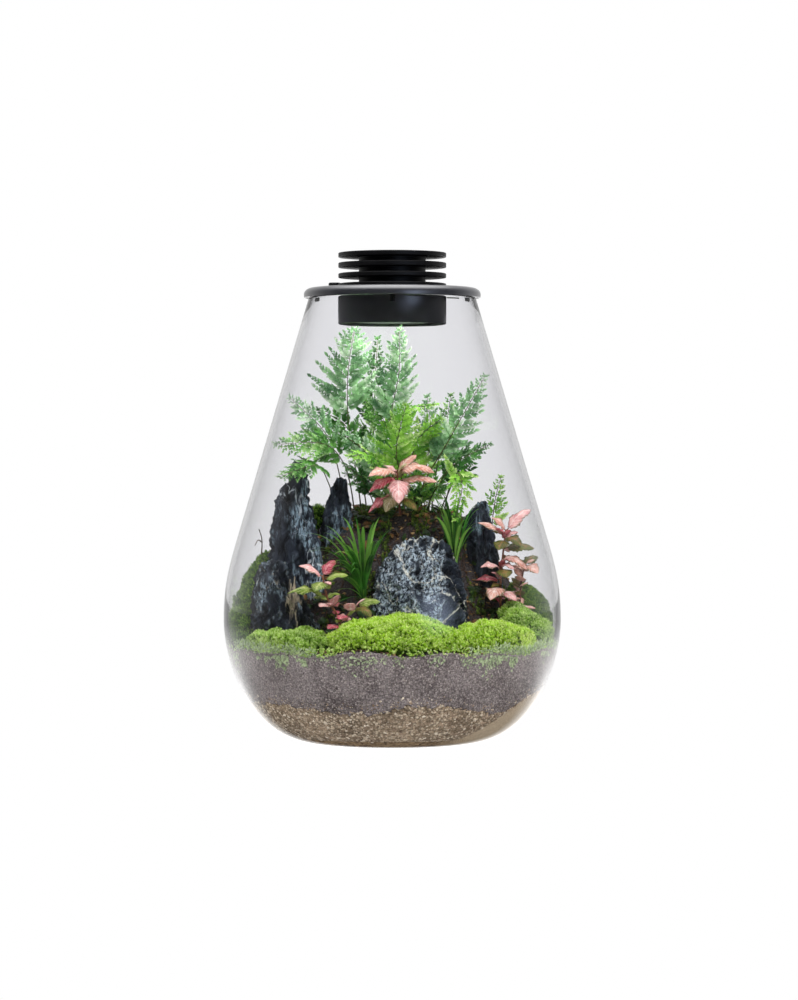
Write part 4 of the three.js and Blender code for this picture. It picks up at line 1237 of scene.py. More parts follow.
# Cuts thin slices off the corners, so that the stone gets flat broken faces
def splitCorners(piece, rock):
    source = random.Random(rock["seed"] + 40)
    cuts = list(rock.get("faces", []))
    for _ in range(rock["cuts"]):
        angle = source.uniform(0, 2 * math.pi)
        tilt = source.uniform(-1, 1) * (0.25 + rock["upright"])
        cuts.append(((math.cos(angle), math.sin(angle), tilt), source.uniform(0.8, 3.6)))
    pick(piece)
    bpy.ops.object.mode_set(mode="EDIT")
    for towards, depth in cuts:
        way = Vector(towards).normalized()
        bpy.ops.object.mode_set(mode="OBJECT")
        reach = max(vertex.co.dot(way) for vertex in piece.data.vertices)
        bpy.ops.object.mode_set(mode="EDIT")
        bpy.ops.mesh.select_all(action="SELECT")
        at = way * (reach - depth * mm)
        bpy.ops.mesh.bisect(plane_co=at, plane_no=way, use_fill=True, clear_outer=True)
    bpy.ops.object.mode_set(mode="OBJECT")


# Flat breaks with sharp creases between them. Upright says how much they tilt from the vertical.
def breakSurface(piece, rock):
    source = random.Random(rock["seed"])
    waves = []
    for size, depth in rock["waves"]:
        for _ in range(2):
            angle = source.uniform(0, math.pi)
            tilt = rock["upright"] * source.uniform(-1, 1)
            way = Vector((math.cos(angle), math.sin(angle), tilt)).normalized()
            waves.append((way, size * source.uniform(0.8, 1.3), depth, source.uniform(0, 9)))
    mesh = piece.data
    tones = []
    moved = []
    full = sum(depth for _, _, depth, _ in waves)
    for vertex in mesh.vertices:
        p = vertex.co / mm
        bent = p + 3.5 * noise.noise_vector(p / 19)
        reach = 0.0
        for way, size, depth, shift in waves:
            wave = bent.dot(way) / size + 0.9 * noise.noise(p / (1.9 * size) + Vector((shift, 0, 0)))
            fall = wave - math.floor(wave)
            reach += depth * (min(fall / 0.75, (1 - fall) / 0.25) - 0.5)
        # The tone keeps how far each point stands out, which the stone's colour uses for painted shade
        # in the creases and a lighter grey on the ridges
        tones.append(0.5 + reach / full)
        moved.append(vertex.co + vertex.normal * reach * 0.8 * mm)
    reshape(mesh, moved)
    setTones(mesh, tones)


def rockMaterial(name, dark, light, frost, vein, share, veinWidth, stretch, darkFrom=None):
    material, tree, skin, place = newMaterial(name)
    grain = stretched(tree, place, stretch)
    cloud = useGroup(tree, mottle, Place=grain, Scale=150.0, Low=0.35, High=0.7,
                     Dark=tint(dark), Light=tint(light))
    # Painted shade: near black where the surface is sunk in a crease; on the raised ridges a lighter
    # grey, partly edge wear and partly a painted highlight
    paintedCreaseShade = mapped(tree, toneOf(tree), 0.2, 0.42, 0.85, 0.0)
    colour = mixColours(tree, paintedCreaseShade, cloud["Colour"], tint("050608"))
    ridgeWearAndHighlight = mapped(tree, toneOf(tree), 0.62, 0.9, 0.0, 0.6)
    colour = mixColours(tree, ridgeWearAndHighlight, colour, tint("59636f"))

    # Crystals: fine specks, in patches and along ridges
    fine = noiseOf(tree, grain, 500.0, 6.0, Roughness=0.75)
    there = noiseOf(tree, place, 30.0, 4.0, Roughness=0.6)
    if darkFrom:
        across = addNode(tree, "ShaderNodeSeparateXYZ", {0: place}).outputs[0]
        there = maths(tree, "SUBTRACT", there, mapped(tree, across, *darkFrom, 0.0, 0.34))
    middle = noiseOf(tree, grain, 130.0, 3.0)
    there = maths(tree, "ADD", there, mapped(tree, middle, 0.3, 0.7, -0.14, 0.14))
    inPatch = mapped(tree, there, 0.64 - share, 0.76 - share)
    specks = maths(tree, "MULTIPLY", mapped(tree, fine, 0.48, 0.55), inPatch)
    colour = mixColours(tree, maths(tree, "MULTIPLY", specks, 0.85), colour, tint(frost))
    broad = useGroup(tree, mineralVeins, Place=grain, Scale=30.0, Width=veinWidth)
    thin = useGroup(tree, mineralVeins, Place=place, Scale=80.0, Width=veinWidth * 0.5)
    gaps = mapped(tree, fine, 0.38, 0.5, 0.15, 1.0)
    lines = maths(tree, "MAXIMUM", broad["Mask"], maths(tree, "MULTIPLY", thin["Mask"], inPatch))
    colour = mixColours(tree, maths(tree, "MULTIPLY", lines, gaps), colour, tint(vein))
    tree.links.new(colour, skin["Base Color"])
    tree.links.new(mapped(tree, cloud["Mask"], 0.0, 1.0, 0.4, 0.75), skin["Roughness"])
    chips = noiseOf(tree, grain, 330.0, 7.0, Roughness=0.7)
    tree.links.new(bump(tree, chips, 0.003, 1.0), skin["Normal"])
    return material


def makeRocks():
    stones = {
        "slate": rockMaterial(
            "darkSlate", "11141a", "363d49", "8aa0ae", "c8d0d6", 0.15, 0.008, (1, 1, 0.16)
        ),
        "pale": rockMaterial(
            "paleStone", "0d1016", "333c48", "c0d0dc", "dedccf", 0.26, 0.014, (1, 1, 0.7),
            darkFrom=(0.034, 0.046),
        ),
        "banded": rockMaterial(
            "bandedSlate", "0d1014", "2c323c", "93a6b2", "b9ab92", 0.15, 0.016, (1, 1, 0.3)
        ),
    }
    for node, rock in rocks.items():
        piece = copyOfNode(node)
        splitCorners(piece, rock)
        modify(piece, "REMESH", mode="VOXEL", voxel_size=rock["voxel"] * mm)
        modify(piece, "SMOOTH", factor=0.5, iterations=3)
        breakSurface(piece, rock)
        smoothShade(piece, 30)
        finish(piece, node + "Stone", [stones[rock["stone"]]], "rock", node)


makeRocks()
print("rocks done")


# Ferns. A frond's stalk leaves the soil at root and passes through via to tip. Its blade starts
# at the share start of that way, and its upper side looks towards face.

fronds = [
    {"root": (-24, 31), "via": [(-28, 26, 205), (-33, 18, 240), (-33, 12, 275)], "tip": (-28, 4, 307),
     "start": 0.55, "width": 25, "face": (0.1, -1, 0.25), "leaf": "pale"},
    {"root": (2, 27), "via": [(1, 20, 205), (-1, 8, 240), (5, -4, 275)], "tip": (5, -18, 306),
     "start": 0.52, "width": 19, "face": (0.45, -1, 0.2), "leaf": "pale"},
    {"root": (-12, 40), "via": [(-14, 37, 220), (-13, 33, 265)], "tip": (-11, 29, 301),
     "start": 0.52, "width": 11, "face": (0, -1, 0.1), "leaf": "deep"},
    {"root": (-36, 30), "via": [(-40, 24, 200), (-49, 10, 228)], "tip": (-76, -6, 256),
     "start": 0.5, "width": 15, "face": (0.25, -1, 0.6), "leaf": "pale"},
    {"root": (-29, 24), "via": [(-36, 17, 206), (-50, 0, 221)], "tip": (-86, -14, 221),
     "start": 0.45, "width": 16, "face": (0, -1, 0.5), "leaf": "mid"},
    {"root": (-43, 26), "via": [(-48, 15, 193), (-56, -8, 205)], "tip": (-82, -38, 197),
     "start": 0.48, "width": 13, "face": (0, -0.8, 0.8), "leaf": "mid"},
    {"root": (-20, 38), "via": [(-26, 34, 205), (-36, 32, 236)], "tip": (-63, 30, 249),
     "start": 0.5, "width": 12, "face": (0.1, -1, 0.5), "leaf": "deep"},
    {"root": (9, 19), "via": [(7, 8, 195), (3, -8, 216)], "tip": (10, -30, 250),
     "start": 0.45, "width": 18, "face": (-0.1, -1, 0.35), "leaf": "young"},
    {"root": (9, 36), "via": [(7, 30, 215), (8, 22, 244)], "tip": (34, 2, 251),
     "start": 0.55, "width": 11, "face": (0.1, -0.6, 0.9), "leaf": "young"},
    {"root": (22, 30), "via": [(25, 24, 200), (29, 17, 228)], "tip": (26, 10, 257),
     "start": 0.45, "width": 13, "face": (0, -1, 0.2), "leaf": "pale"},
    {"root": (30, 36), "via": [(34, 32, 205), (40, 28, 232)], "tip": (44, 22, 258),
     "start": 0.5, "width": 11, "face": (0.1, -1, 0.2), "leaf": "mid"},
    {"root": (18, 21), "via": [(25, 14, 195), (38, 6, 217), (51, 2, 240)], "tip": (69, -2, 272),
     "start": 0.42, "width": 16, "face": (-0.1, -1, 0.25), "leaf": "pale"},
    {"root": (27, 18), "via": [(35, 6, 192), (47, -8, 207)], "tip": (72, -18, 221),
     "start": 0.5, "width": 11, "face": (0, -0.8, 0.8), "leaf": "deep"},
    {"root": (36, 10), "via": [(42, -6, 186), (48, -22, 200), (51, -33, 190)], "tip": (46, -40, 166),
     "start": 0.5, "width": 11, "face": (0.2, -1, 0.5), "leaf": "young"},
    {"root": (40, 28), "via": [(45, 22, 195), (53, 16, 209)], "tip": (69, 9, 221),
     "start": 0.4, "width": 12, "face": (0, -0.8, 0.6), "leaf": "deep"},
    {"root": (-14, 23), "via": [(-18, 13, 186), (-25, 4, 198)], "tip": (-36, -8, 206),
     "start": 0.45, "width": 11, "face": (0, -0.7, 0.7), "leaf": "deep"},
    {"root": (75, 28), "via": [(75, 25, 158), (77, 19, 178)], "tip": (81, 6, 197),
     "start": 0.45, "width": 9, "face": (0, -1, 0.4), "leaf": "young"},
    {"root": (-3, 20), "via": [(-6, 11, 195), (-15, -6, 212)], "tip": (-33, -22, 212),
     "start": 0.45, "width": 13, "face": (0, -0.8, 0.9), "leaf": "young"},
    {"root": (-10, 52), "via": [(-12, 57, 205), (-16, 64, 228)], "tip": (-26, 77, 236),
     "start": 0.42, "width": 17, "face": (0, 0.9, 0.6), "leaf": "mid"},
    {"root": (22, 50), "via": [(25, 55, 200), (30, 62, 222)], "tip": (45, 70, 231),
     "start": 0.42, "width": 15, "face": (0.2, 0.9, 0.6), "leaf": "mid"},
]
fern = {
    "rootDepth": 8, "sweep": 36, "pinnaGap": 6.5, "crowding": 1.35, "leafletGap": 2.7,
    "leafletLength": 8.6, "leafletWidth": 0.7, "leafletAngle": 46, "least": 1.3, "droop": 0.22,
    "stalk": 0.62, "rib": 0.24, "fuller": 1.2,
}
centreFronds = [
    {"root": (4, 30), "via": [(1, 22, 200), (-5, 12, 236)], "tip": (-18, 0, 254),
     "start": 0.3, "width": 21, "face": (-0.1, -0.95, 0.3), "leaf": "mid"},
    {"root": (8, 30), "via": [(12, 22, 195), (19, 12, 224)], "tip": (36, 2, 240),
     "start": 0.3, "width": 20, "face": (0.2, -0.9, 0.4), "leaf": "young"},
    {"root": (0, 30), "via": [(-8, 22, 190), (-19, 12, 214)], "tip": (-36, 2, 228),
     "start": 0.32, "width": 17, "face": (-0.2, -0.9, 0.4), "leaf": "pale"},
]
undergrowth = {
    "count": 14, "crown": (6, 27), "reach": (22, 46), "rise": (12, 36), "width": (7, 10),
    "kinds": ["deep", "mid", "young", "deep"],
}


# One leaflet, a unit long, cut into lobes that point to its tip, with a sunk midrib
def leafletShape(lobes):
    rows = len(lobes)

    def place(u, v):
        half = lobes[round(v * (rows - 1))] / 2
        along = v + 0.13 * abs(u) ** 1.5 * half * 2 * (1 - v)
        rise = 0.2 * abs(u) * half * 2 - 0.18 * v * v + 0.03 * math.sin(v * 19) * abs(u)
        return (u * half, along, rise)

    shape = sheetOf(rows, 3, place)
    shape["tone"] = shape["uv"][:, 1]
    return shape


def leafMaterial(name, dark, light, vein, glow, roughness=0.42, pairs=4.0):
    material, tree, skin, place = newMaterial(name, **{"Roughness": roughness, "Sheen Weight": 0.08})
    cloud = useGroup(tree, mottle, Place=place, Scale=110.0, Low=0.32, High=0.68,
                     Dark=tint(dark), Light=tint(light))
    flat = addNode(tree, "ShaderNodeUVMap", uv_map="leaf").outputs[0]
    net = useGroup(tree, leafVeins, Flat=flat, Pairs=pairs, Sweep=0.5, Width=0.12)
    low = mixColours(tree, mapped(tree, toneOf(tree), 0.05, 0.5, 0.8, 0.0), cloud["Colour"], tint(dark))
    own = mixColours(tree, mapped(tree, toneOf(tree), 0.5, 0.95, 0.0, 0.85), low, tint(vein))
    colour = mixColours(tree, maths(tree, "MULTIPLY", net["Mask"], 0.25), own, tint(vein))
    tree.links.new(colour, skin["Base Color"])
    tree.links.new(bump(tree, net["Mask"], 0.0003, 0.5), skin["Normal"])
    shineThrough(tree, colour, glow)
    return material


def stalkMaterial(name, dark, light):
    material, tree, skin, place = cloudyMaterial(name, 260.0, dark, light, Roughness=0.5)
    tree.links.new(bump(tree, noiseOf(tree, place, 1200.0, 3.0), 0.0002, 0.5), skin["Normal"])
    return material


# One side branch of a frond: a rib with leaflets on both sides
def pinna(start, outwards, across, normal, reach, size, leaves, ribs):
    branchTone = draw(0, 1)
    points, radii = [], []
    steps = max(3, round(reach / 4))
    curl = draw(0.75, 1.5) * fern["droop"]

    def spot(distance):
        return start + outwards * distance - normal * (curl * distance**2 / reach)

    for i in range(steps + 1):
        points.append(spot(reach * i / steps) * mm)
        radii.append(fern["rib"] * (1 - 0.7 * i / steps) * mm)
    ribs.append(stalkOf(points, radii, sides=4, finishNumber=1))
    count = max(1, round(reach / fern["leafletGap"]))
    for k in range(count):
        for sign in (-1, 1):
            distance = reach * (k + 0.6 + 0.2 * sign) / (count + 0.35)
            share = distance / reach
            length = size * min(1, 0.8 + 1.2 * share) * (1 - share) ** 0.5 * draw(0.82, 1.12)
            length = max(length, fern["least"])
            angle = math.radians(fern["leafletAngle"] - 16 * share + draw(-7, 7))
            along = (outwards * math.cos(angle) + across * (sign * math.sin(angle))).normalized()
            tilt = Matrix.Rotation(draw(-0.6, 0.6), 3, along)
            face = (tilt @ normal).normalized()
            along = (along - face * along.dot(face) + normal * draw(-0.22, 0.08)).normalized()
            right = along.cross(face).normalized()
            face = right.cross(along)
            wide = length * fern["leafletWidth"] * (1 if length > 3 else 1.2)
            scale = (wide * mm, length * mm, length * mm)
            leaf = placeOf(spot(distance) * mm, right, along, face, scale)
            leaves.append((leaf, 0.7 * branchTone + draw(0, 0.3)))
    right = outwards.cross(normal).normalized()
    last = max(size * 0.6, 1.8)
    size = (last * fern["leafletWidth"] * mm, last * mm, last * mm)
    leaves.append((placeOf(spot(reach * 0.93) * mm, right, outwards, normal, size), branchTone))


def makeFrond(number, frond, leaflets, finishes, extra=False):
    x, y = frond["root"]
    foot, begin = soilTop(x, y), frond["start"]
    way = wayThrough([(x, y, foot - fern["rootDepth"]), (x, y, foot + 6), *frond["via"], frond["tip"]])
    face = Vector(frond["face"])
    blade = lengthOf(way) * (1 - begin)
    pairs = max(6, round(blade / fern["pinnaGap"]))
    full = frond["width"] / math.cos(math.radians(fern["sweep"]))
    leaves, ribs = [], []
    radii = [fern["stalk"] * (1 - 0.72 * i / (len(way) - 1)) * mm for i in range(len(way))]
    ribs.append(stalkOf([p * mm for p in way[::3]], radii[::3], sides=6, finishNumber=1))
    for i in range(pairs):
        for sign in (-1, 1):
            left = 1 - (i + 0.5 + 0.14 * sign) / pairs
            share = 1 - left ** fern["crowding"]
            gap = fern["crowding"] * left ** (fern["crowding"] - 1) * blade / pairs
            at, along, normal, side = frameAlong(way, begin + (1 - begin) * share, face)
            sweep = math.radians(fern["sweep"] + 12 * share + draw(-5, 5))
            outwards = (side * sign * math.cos(sweep) + along * math.sin(sweep)).normalized()
            outwards = (outwards + normal * draw(-0.12, 0.2)).normalized()
            across = (along * math.cos(sweep) - side * sign * math.sin(sweep)).normalized()
            tapered = fern["fuller"] * min(1, 0.85 + 1.6 * share) * (1 - share) ** 0.72
            reach = full * (tapered * draw(0.9, 1.08))
            size = min(fern["leafletLength"], 0.84 * gap, 2 + 0.36 * reach)
            pinna(at, outwards, across, normal, max(reach, 2.5), size, leaves, ribs)
    at, along, normal, side = frameAlong(way, 0.985, face)
    last = placeOf(at * mm, along.cross(normal), along, normal, (2 * mm, 3.2 * mm, 3.2 * mm))
    leaves.append((last, 0.5))
    random.shuffle(leaves)
    halves = leaves[::2], leaves[1::2]
    blades = [
        copies(leaflet, [leaf for leaf, _ in half], 0, [tone for _, tone in half])
        for leaflet, half in zip(leaflets, halves)
    ]
    piece = pieceOf("frond", [*blades, *ribs])
    fitInGlass(piece.data, jar["leafGap"])
    nodes = [] if extra else [f"frond_{number}"]
    colours = [finishes[frond["leaf"]], finishes["stalk"]]
    finish(piece, f"fernFrond{number}", colours, "fern_leaf", *nodes)


def leafletPair():
    return [
        leafletShape([0.14, 0.62, 0.4, 0.92, 0.56, 1.0, 0.62, 0.9, 0.48, 0.62, 0.3, 0.34, 0.03]),
        leafletShape([0.12, 0.5, 0.44, 1.0, 0.7, 0.96, 0.5, 0.82, 0.56, 0.5, 0.36, 0.2, 0.03]),
    ]


def fernFinishes():
    return {
        "pale": leafMaterial("fernPale", "2c6634", "96cc88", "f8feee", 0.38),
        "mid": leafMaterial("fernMid", "1c561a", "6eb848", "dcf6b0", 0.36),
        "young": leafMaterial("fernYoung", "3c8a1c", "a4e04a", "f0fcb4", 0.38),
        "deep": leafMaterial("fernDeep", "113414", "347428", "82b864", 0.26),
        "stalk": stalkMaterial("fernStalk", "33261c", "5a5a34"),
    }


def makeFerns(leaflets, finishes):
    for i, frond in enumerate(fronds):
        makeFrond(i + 1, frond, leaflets, finishes)
    for i, frond in enumerate(centreFronds):
        makeFrond(f"Centre{i + 1}", frond, leaflets, finishes, extra=True)


# Small young leaves and side fronds round the crown, under the large ones
def makeUndergrowth(leaflets, finishes):
    kinds = undergrowth["kinds"]
    for number in range(undergrowth["count"]):
        angle = draw(-0.4, math.pi + 0.4) + math.pi
        x, y = undergrowth["crown"]
        x, y = x + draw(-24, 24), y + draw(-8, 8)
        reach, rise = draw(*undergrowth["reach"]), draw(*undergrowth["rise"])
        dx, dy = math.cos(angle), 0.75 * math.sin(angle)
        foot = soilTop(x, y)
        frond = {
            "root": (x, y), "via": [(x + 0.35 * reach * dx, y + 0.35 * reach * dy, foot + 0.8 * rise)],
            "tip": (x + reach * dx, y + reach * dy, foot + rise), "start": 0.34,
            "width": draw(*undergrowth["width"]), "face": (0.2 * dx, -0.7, 0.8),
            "leaf": kinds[number % len(kinds)],
        }
        makeFrond(f"Small{number + 1}", frond, leaflets, finishes, extra=True)


fernLeaflets, fernColours = leafletPair(), fernFinishes()
makeFerns(fernLeaflets, fernColours)
makeUndergrowth(fernLeaflets, fernColours)
print("ferns done")


# Nerve plants: rooted stems, and leaves as (from, tip, half width, colour)

nervePlants = {
    "nerve_plant_centre": {
        "smallLeaves": ["pink", "salmon", "cream"],
        "stems": [[(6, 10), (5, 4, 180), (4, -4, 190), (4, -11, 202)]],
        "leaves": [
            ((4, -11, 200), (-17, -23, 199), 6, "salmon"),
            ((4, -11, 201), (30, -17, 204), 6, "salmon"),
            ((4, -10, 201), (18, -3, 213), 4, "salmon"),
            ((4, -8, 197), (-17, -16, 187), 5, "red"),
            ((4, -8, 196), (5, -29, 181), 7, "pink"),
            ((4, -6, 194), (33, -19, 193), 5, "salmon"),
            ((5, 0, 186), (-5, -17, 172), 5, "cream"),
            ((5, 2, 183), (-18, -10, 174), 4, "red"),
            ((5, 2, 182), (18, -13, 172), 4, "olive"),
        ],
    },
    "nerve_plant_right": {
        "smallLeaves": ["olive", "red", "pink"],
        "stems": [[(80, -13), (80, -13, 121), (82, -12, 143), (84, -10, 158)]],
        "leaves": [
            ((84, -10, 157), (102, -6, 174), 5, "pink"),
            ((84, -10, 157), (75, -13, 168), 4, "salmon"),
            ((84, -10, 154), (63, -16, 163), 4, "salmon"),
            ((83, -11, 151), (78, -24, 144), 5, "olive"),
            ((84, -10, 153), (95, -18, 148), 5, "olive"),
            ((83, -12, 145), (105, -8, 144), 6, "olive"),
            ((82, -12, 139), (99, -20, 130), 4, "salmon"),
            ((81, -13, 130), (66, -22, 133), 4, "pink"),
            ((81, -13, 129), (84, -27, 123), 5, "olive"),
            ((80, -13, 121), (62, -16, 122), 4, "red"),
            ((80, -13, 116), (72, -31, 110), 6, "salmon"),
            ((80, -13, 113), (91, -25, 106), 4, "pink"),
        ],
    },
    "nerve_cutting_right": {
        "smallLeaves": ["olive", "salmon"],
        "stems": [[(94, -9), (95, -9, 116), (98, -8, 133)]],
        "leaves": [
            ((98, -8, 132), (108, 2, 139), 4, "olive"),
            ((98, -8, 132), (107, -18, 128), 5, "salmon"),
            ((98, -8, 130), (92, 4, 136), 3, "olive"),
        ],
    },
    "nerve_plant_front": {
        "smallLeaves": ["pink", "red", "lime", "lime"],
        "stems": [
            [(-38, -69), (-38, -69, 94), (-46, -68, 108), (-50, -67, 125)],
            [(-38, -69), (-38, -69, 91), (-31, -69, 99), (-25, -67, 105)],
        ],
        "leaves": [
            ((-50, -67, 125), (-66, -74, 134), 5, "pink"),
            ((-50, -67, 125), (-42, -62, 138), 4, "red"),
            ((-49, -67, 122), (-55, -82, 115), 5, "lime"),
            ((-49, -67, 123), (-32, -70, 127), 4, "lime"),
            ((-47, -68, 112), (-74, -72, 117), 4, "lime"),
            ((-44, -68, 105), (-52, -80, 104), 4, "pink"),
            ((-43, -68, 103), (-39, -80, 113), 4, "pink"),
            ((-30, -69, 99), (-30, -80, 108), 4, "pink"),
            ((-32, -69, 96), (-38, -83, 95), 4, "red"),
            ((-26, -67, 104), (-9, -66, 108), 5, "lime"),
            ((-26, -67, 103), (-15, -79, 99), 4, "olive"),
            ((-36, -69, 90), (-46, -84, 88), 4, "red"),
        ],
    },
}
nerveLeaf = {
    "green": "3a4a20", "look": (0, -0.5, 1), "petiole": 0.14, "lift": 0.12, "fuller": 1.22,
    "more": {"count": 15, "length": (7, 13), "width": (2.6, 4.4)},
    "colours": {
        "salmon": ("b26a57", "eab09f", "fff2ea"),
        "pink": ("c8747a", "f2bab2", "fff2ee"),
        "red": ("8e2038", "d05668", "fac4c2"),
        "olive": ("39481c", "66742f", "b8785c"),
        "cream": ("8f8458", "c9ba8c", "ece2c6"),
        "lime": ("4e6c1c", "96ac44", "e0e0a0"),
    },
}


# A leaf, a unit long and one unit in half width: quilted between its veins, with a waved edge
def nerveLeafShape(curl, wave, rows=19, columns=11):
    def place(u, v):
        width = math.sin(math.pi * min(1, 0.06 + 0.94 * v) ** 0.85) ** 0.7 if v < 1 else 0.02
        width = max(width, 0.09 if v < 0.1 else 0.02) * (1 + 0.11 * math.cos(v * 44) * abs(u) ** 4)
        quilt = 0.018 * math.cos(2 * math.pi * (6.5 * (v - 0.3 * abs(u)))) * math.sin(math.pi * abs(u))
        arch = 0.5 * v * (1 - v) - curl * v**3
        fold = -0.075 * abs(u) ** 1.5 * width + wave * math.sin(v * 11 + 2 * u) * abs(u) ** 2 * width
        return (u * width, v, arch + fold + quilt)

    return sheetOf(rows, columns, place)


def nerveMaterial(name, dark, light, vein):
    material, tree, skin, place = newMaterial(name, Roughness=0.38)
    flat, away = leafPlan(tree)
    cloud = useGroup(tree, mottle, Place=place, Scale=170.0, Low=0.3, High=0.7,
                     Dark=tint(dark), Light=tint(light))
    ragged = noiseOf(tree, place, 420.0, 3.0)
    edge = maths(tree, "ADD", away, mapped(tree, ragged, 0.3, 0.7, -0.14, 0.14))
    rim = mapped(tree, edge, 0.68, 0.92, 0.0, 0.8)
    colour = mixColours(tree, rim, cloud["Colour"], tint(nerveLeaf["green"]))
    # Paler by the midrib: the leaf's own pale centre, with a painted highlight in it
    pale = mapped(tree, ragged, 0.48, 0.7, 0.0, 0.6)
    pale = maths(tree, "MULTIPLY", pale, mapped(tree, away, 0.3, 0.8, 1.0, 0.0))
    colour = mixColours(tree, pale, colour, tint(vein))
    net = useGroup(tree, leafVeins, Flat=flat, Pairs=7.0, Sweep=0.32, Width=0.13)
    colour = mixColours(tree, maths(tree, "MULTIPLY", net["Mask"], 0.6), colour, tint(vein))
    tree.links.new(colour, skin["Base Color"])
    tree.links.new(bump(tree, net["Mask"], 0.0004, -0.6), skin["Normal"])
    shineThrough(tree, colour, 0.25)
    return material


# The place of a nerve leaf, with its upper side to the light
def nerveLeafPlace(foot, along, length, half):
    normal = upperSide(along, Vector(nerveLeaf["look"]))
    return placeOf(foot * mm, along.cross(normal), along, normal, (half * mm, length * mm, length * mm))


def makeNervePlants():
    names = list(nerveLeaf["colours"])
    finishes = [nerveMaterial("nerveLeaf" + n.capitalize(), *nerveLeaf["colours"][n]) for n in names]
    finishes.append(stalkMaterial("nerveStem", "5a2f22", "8a5a40"))
    shapes = [nerveLeafShape(0.1, 0.05), nerveLeafShape(0.22, 0.08), nerveLeafShape(0.02, 0.03)]
    more = nerveLeaf["more"]
    for node, plant in nervePlants.items():
        parts, ways = [], []
        for (x, y), *via in plant["stems"]:
            foot = soilTop(x, y)
            way = wayThrough([(x, y, foot - 8), (x, y, foot + 1), *via], 60)
            ways.append(way)
            radii = [(0.95 - 0.35 * i / 59) * (1.25 if i % 12 == 0 else 1) * mm for i in range(60)]
            parts.append(stalkOf([p * mm for p in way], radii, 8, len(names)))
        for number, (origin, tip, half, colour) in enumerate(plant["leaves"]):
            start = min((p for way in ways for p in way), key=lambda p: (p - Vector(origin)).length)
            way = Vector(tip) - start
            along = way.normalized()
            normal = upperSide(along, Vector(nerveLeaf["look"]))
            petiole = nerveLeaf["petiole"] * way.length
            foot = start + along * petiole + normal * nerveLeaf["lift"] * petiole
            parts.append(stalkOf([start * mm, foot * mm], [0.5 * mm, 0.4 * mm], 6, len(names)))
            place = nerveLeafPlace(foot, along, way.length - petiole, nerveLeaf["fuller"] * half)
            parts.append(copies(shapes[number % 3], [place], names.index(colour)))
        for _ in range(more["count"]):
            way = random.choice(ways)
            start = way[int(draw(0.3, 0.98) * (len(way) - 1))]
            angle, rise = draw(0, 2 * math.pi), draw(-0.1, 0.9)
            along = Vector((math.cos(angle), math.sin(angle), rise)).normalized()
            place = nerveLeafPlace(start, along, draw(*more["length"]), draw(*more["width"]))
            kind = names.index(random.choice(plant["smallLeaves"]))
            parts.append(copies(random.choice(shapes), [place], kind))
        piece = pieceOf("nervePlant", parts)
        fitInGlass(piece.data, jar["leafGap"])
        finish(piece, camelName(node), finishes, "nerve_leaf", node)


makeNervePlants()
print("nerve plants done")


# Tufts of strap leaves

tufts = {
    "grass_left": {
        "root": (-21, -27), "width": 3.4, "extra": 34,
        "tips": [
            (-63, -58, 156), (-59, -70, 143), (-50, -50, 162), (-42, -74, 141), (-37, -46, 168),
            (-27, -34, 168), (-21, -66, 160), (-13, -50, 164), (-5, -66, 152), (1, -60, 160),
            (-46, -60, 126),
        ],
    },
    "grass_right": {
        "root": (46, -9), "width": 3.2, "extra": 26,
        "tips": [
            (25, -16, 188), (18, -24, 178), (30, -34, 168), (37, -24, 184), (46, -34, 178),
            (54, -18, 182), (60, -30, 160), (67, -13, 174), (72, -26, 160), (52, -6, 178),
            (34, -8, 186),
        ],
    },
}


# A long leaf that rises to a knee and bends over to its tip
def strapOf(root, tip, width, lift):
    flat = Vector((tip.x - root.x, tip.y - root.y, 0))
    knee = root + flat * 0.36
    knee.z = root.z + 0.86 * (tip.z - root.z) + lift * flat.length
    side = flat.normalized().cross(up)

    def place(u, t):
        at = root * (1 - t) ** 2 + knee * 2 * t * (1 - t) + tip * t * t
        along = ((knee - root) * (1 - t) + (tip - knee) * t).normalized()
        normal = side.cross(along)
        share = min(1, 0.55 + 1.1 * t) * min(1, (1 - t) * 2.6 + 0.03)
        point = at + side * (u * share * width / 2) + normal * (0.22 * abs(u) * share * width / 2)
        return point * mm

    strap = sheetOf(15, 5, place, (-1, -0.45, 0, 0.45, 1))
    strap["tone"] = draw(0, 1)
    return strap


def strapMaterial():
    material, tree, skin, place = newMaterial("strapLeaf", Roughness=0.35)
    flat, away = leafPlan(tree)
    cloud = useGroup(tree, mottle, Place=place, Scale=60.0, Dark=tint("10340b"), Light=tint("489430"))
    pale = mapped(tree, toneOf(tree), 0.4, 1, 0, 0.75)
    colour = mixColours(tree, pale, cloud["Colour"], tint("a6e064"))
    middle = mapped(tree, away, 0.0, 0.16, 0.5, 0.0)
    colour = mixColours(tree, middle, colour, tint("8fbf6a"))
    grain = addNode(tree, "ShaderNodeTexWave", {"Vector": flat, "Scale": 3.0}, bands_direction="X")
    tree.links.new(colour, skin["Base Color"])
    tree.links.new(bump(tree, grain.outputs["Fac"], 0.0002, 0.4), skin["Normal"])
    shineThrough(tree, colour, 0.2)
    return material


